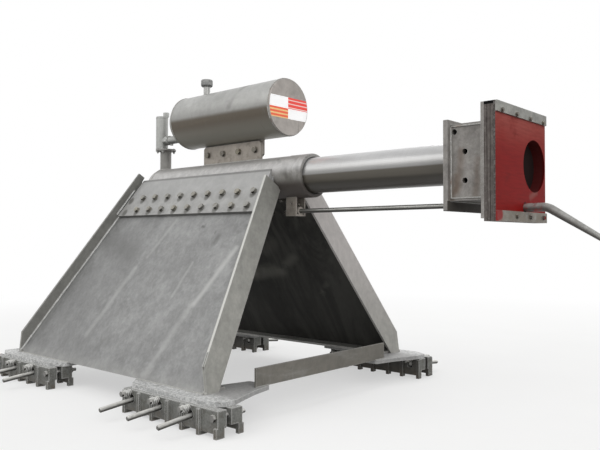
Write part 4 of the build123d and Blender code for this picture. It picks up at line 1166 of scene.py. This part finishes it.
for z in (0.004, VALVE_HEIGHT - 0.014):
    steps = ((-0.0005, 0), (0.0012, 0.0015), (0.0012, 0.0065), (-0.0005, 0.008))
    band = [(VALVE_RADIUS + out, z + rise) for out, rise in steps]
    turned(fittings, Matrix.Translation((valve_x, 0, flange_z)), band, 48)
finish_piece("valve_fittings", fittings, "valve_steel")

# Wiper seal in the open ring of the collar
lip = ((0.0045, -0.014), (0.0045, -0.006), (0.0012, -0.004), (0.0006, -0.0065), (0.0012, -0.014))
seal = bmesh.new()
profile = [(RAM_RADIUS + out, depth) for out, depth in lip]
turned(seal, facing((collar_front, 0, HOUSING_Z), AHEAD), profile, 96, True)
finish_piece("wiper_seal", seal, "dark_rubber")

# Reflective sheets, with their heights from the reservoir's middle
SHEET_TOP, SHEET_MIDDLE, SHEET_BOTTOM = 0.050, -0.009, -0.063
SHEET_SPLIT = -0.006
SHEET_RIM = DISC_RADIUS - 0.003
SHEET_THICKNESS = 0.0006
reflector("white_reflector", 0.52, (0.88, 0.88, 0.88))
reflector("red_reflector", 0.36, (0.86, 0.062, 0.045), (0.90, 0.62, 0.58), 0.020, 0.30)
reflector("orange_reflector", 0.32, (0.86, 0.13, 0.055), (0.92, 0.58, 0.25), 0.019, 0.45)
for name, low, high, side, material in (
    ("near_upper_reflector", SHEET_MIDDLE, SHEET_TOP, NEAR, "white_reflector"),
    ("far_upper_reflector", SHEET_MIDDLE, SHEET_TOP, FAR, "red_reflector"),
    ("near_lower_reflector", SHEET_BOTTOM, SHEET_MIDDLE, NEAR, "orange_reflector"),
    ("far_lower_reflector", SHEET_BOTTOM, SHEET_MIDDLE, FAR, "white_reflector"),
):
    heights = [low + (high - low) * i / 14 for i in range(15)]
    rim = [(side * chord(SHEET_RIM, z), z) for z in heights]
    middle = Vector(((SHEET_SPLIT + side * SHEET_RIM) / 2, (low + high) / 2))
    rings = []
    for x, shrink in ((disc_high.x - 0.0002, 0.0), (disc_high.x + SHEET_THICKNESS, 0.0004)):
        points = []
        for corner in [(SHEET_SPLIT, low), *rim, (SHEET_SPLIT, high)]:
            y, z = Vector(corner) - (Vector(corner) - middle).normalized() * shrink
            points.append((x, y, RESERVOIR_Z + z))
        rings.append(points)
    sheet = bmesh.new()
    loft(sheet, rings)
    finish_piece(name, sheet, material)

# Floor, light and camera
FLOOR_SIZE, FLOOR_FADE = 60, (2.2, 6.5)
SKY_LOW, SKY_HIGH = 0.40, 0.85
FOCAL_PIXELS, FRAME_PIXELS = 675.51, 600


def seen_rays(tree):
    """1 for rays from the camera and for those of reflections."""
    ray = tree.nodes.new("ShaderNodeLightPath")
    seen = ray.outputs["Is Camera Ray"]
    for name in ("Is Glossy Ray", "Is Transmission Ray"):
        seen = add_node(tree, "Math", {0: seen, 1: ray.outputs[name]}, operation="MAXIMUM")
    return seen


def floor():
    """A pale floor that keeps the shadow and runs out into white."""
    look = Finish("floor", (0.42, 0.42, 0.415), 0.9, 0.0, 0.0)
    look.shade(look.noise(1.5, 4), 0.985, 1.015)
    seen = seen_rays(look.tree)
    look.set("Emission Strength", look.times(seen, 0.52))
    look.set("Emission Color", (1, 1, 1, 1))
    far_away = look.ramp(look.gap((0, 0, 0)), *FLOOR_FADE)
    white = look.add("Emission", {"Strength": seen})
    look.surface = look.add("MixShader", {0: far_away, 1: look.surface, 2: white})
    look.finish()
    bm = bmesh.new()
    bmesh.ops.create_grid(bm, x_segments=1, y_segments=1, size=FLOOR_SIZE)
    plane = meshed("floor", bm, "floor")


def world():
    """A white studio, plain to the eye and brighter overhead as a light."""
    studio = bpy.data.worlds.new("studio")
    studio.use_nodes = True
    tree = studio.node_tree
    background = tree.nodes["Background"]
    direction = add_node(tree, "TexCoord", output="Generated")
    height = add_node(tree, "SeparateXYZ", {0: direction}, "Z")
    sky = add_node(tree, "MapRange", {"Value": height, "To Min": SKY_LOW, "To Max": SKY_HIGH})
    strength = add_node(tree, "Mix", {"Factor": seen_rays(tree), 2: sky, 3: 1.0})
    feed(tree, background.inputs["Color"], (1, 1, 1, 1))
    feed(tree, background.inputs["Strength"], strength)
    bpy.context.scene.world = studio


def lamp(name, place, target, size, power):
    data = bpy.data.lights.new(name, "AREA")
    data.shape = "RECTANGLE"
    data.size, data.size_y = size
    data.energy = power
    placed(name, data).matrix_world = facing(place, Vector(place) - Vector(target))


def camera():
    """The photographer's place, with the turn, rise and roll in degrees."""
    turn, rise, roll = 41.572, 1.146, 0.074
    data = bpy.data.cameras.new("camera")
    data.sensor_width = 36
    data.lens = FOCAL_PIXELS * data.sensor_width / FRAME_PIXELS
    eye = placed("camera", data)
    eye.matrix_world = Matrix.Translation((2.4009, -2.6015, 0.7876))
    for angle, axis in ((turn, "Z"), (90 + rise, "X"), (roll, "Z")):
        eye.matrix_world = eye.matrix_world @ Matrix.Rotation(math.radians(angle), 4, axis)
    bpy.context.scene.camera = eye


floor()
world()
lamp("key", (-2.6, -4.2, 4.6), (-0.2, 0, 0.8), (3.2, 3.2), 78)
lamp("fill", (4.5, -2.5, 3.0), (0.4, 0, 0.9), (2.6, 2.6), 58)
lamp("back", (-1.0, 4.5, 4.2), (-0.2, 0, 1.0), (3.0, 2.0), 60)
camera()
bpy.context.scene.view_settings.view_transform = "Standard"
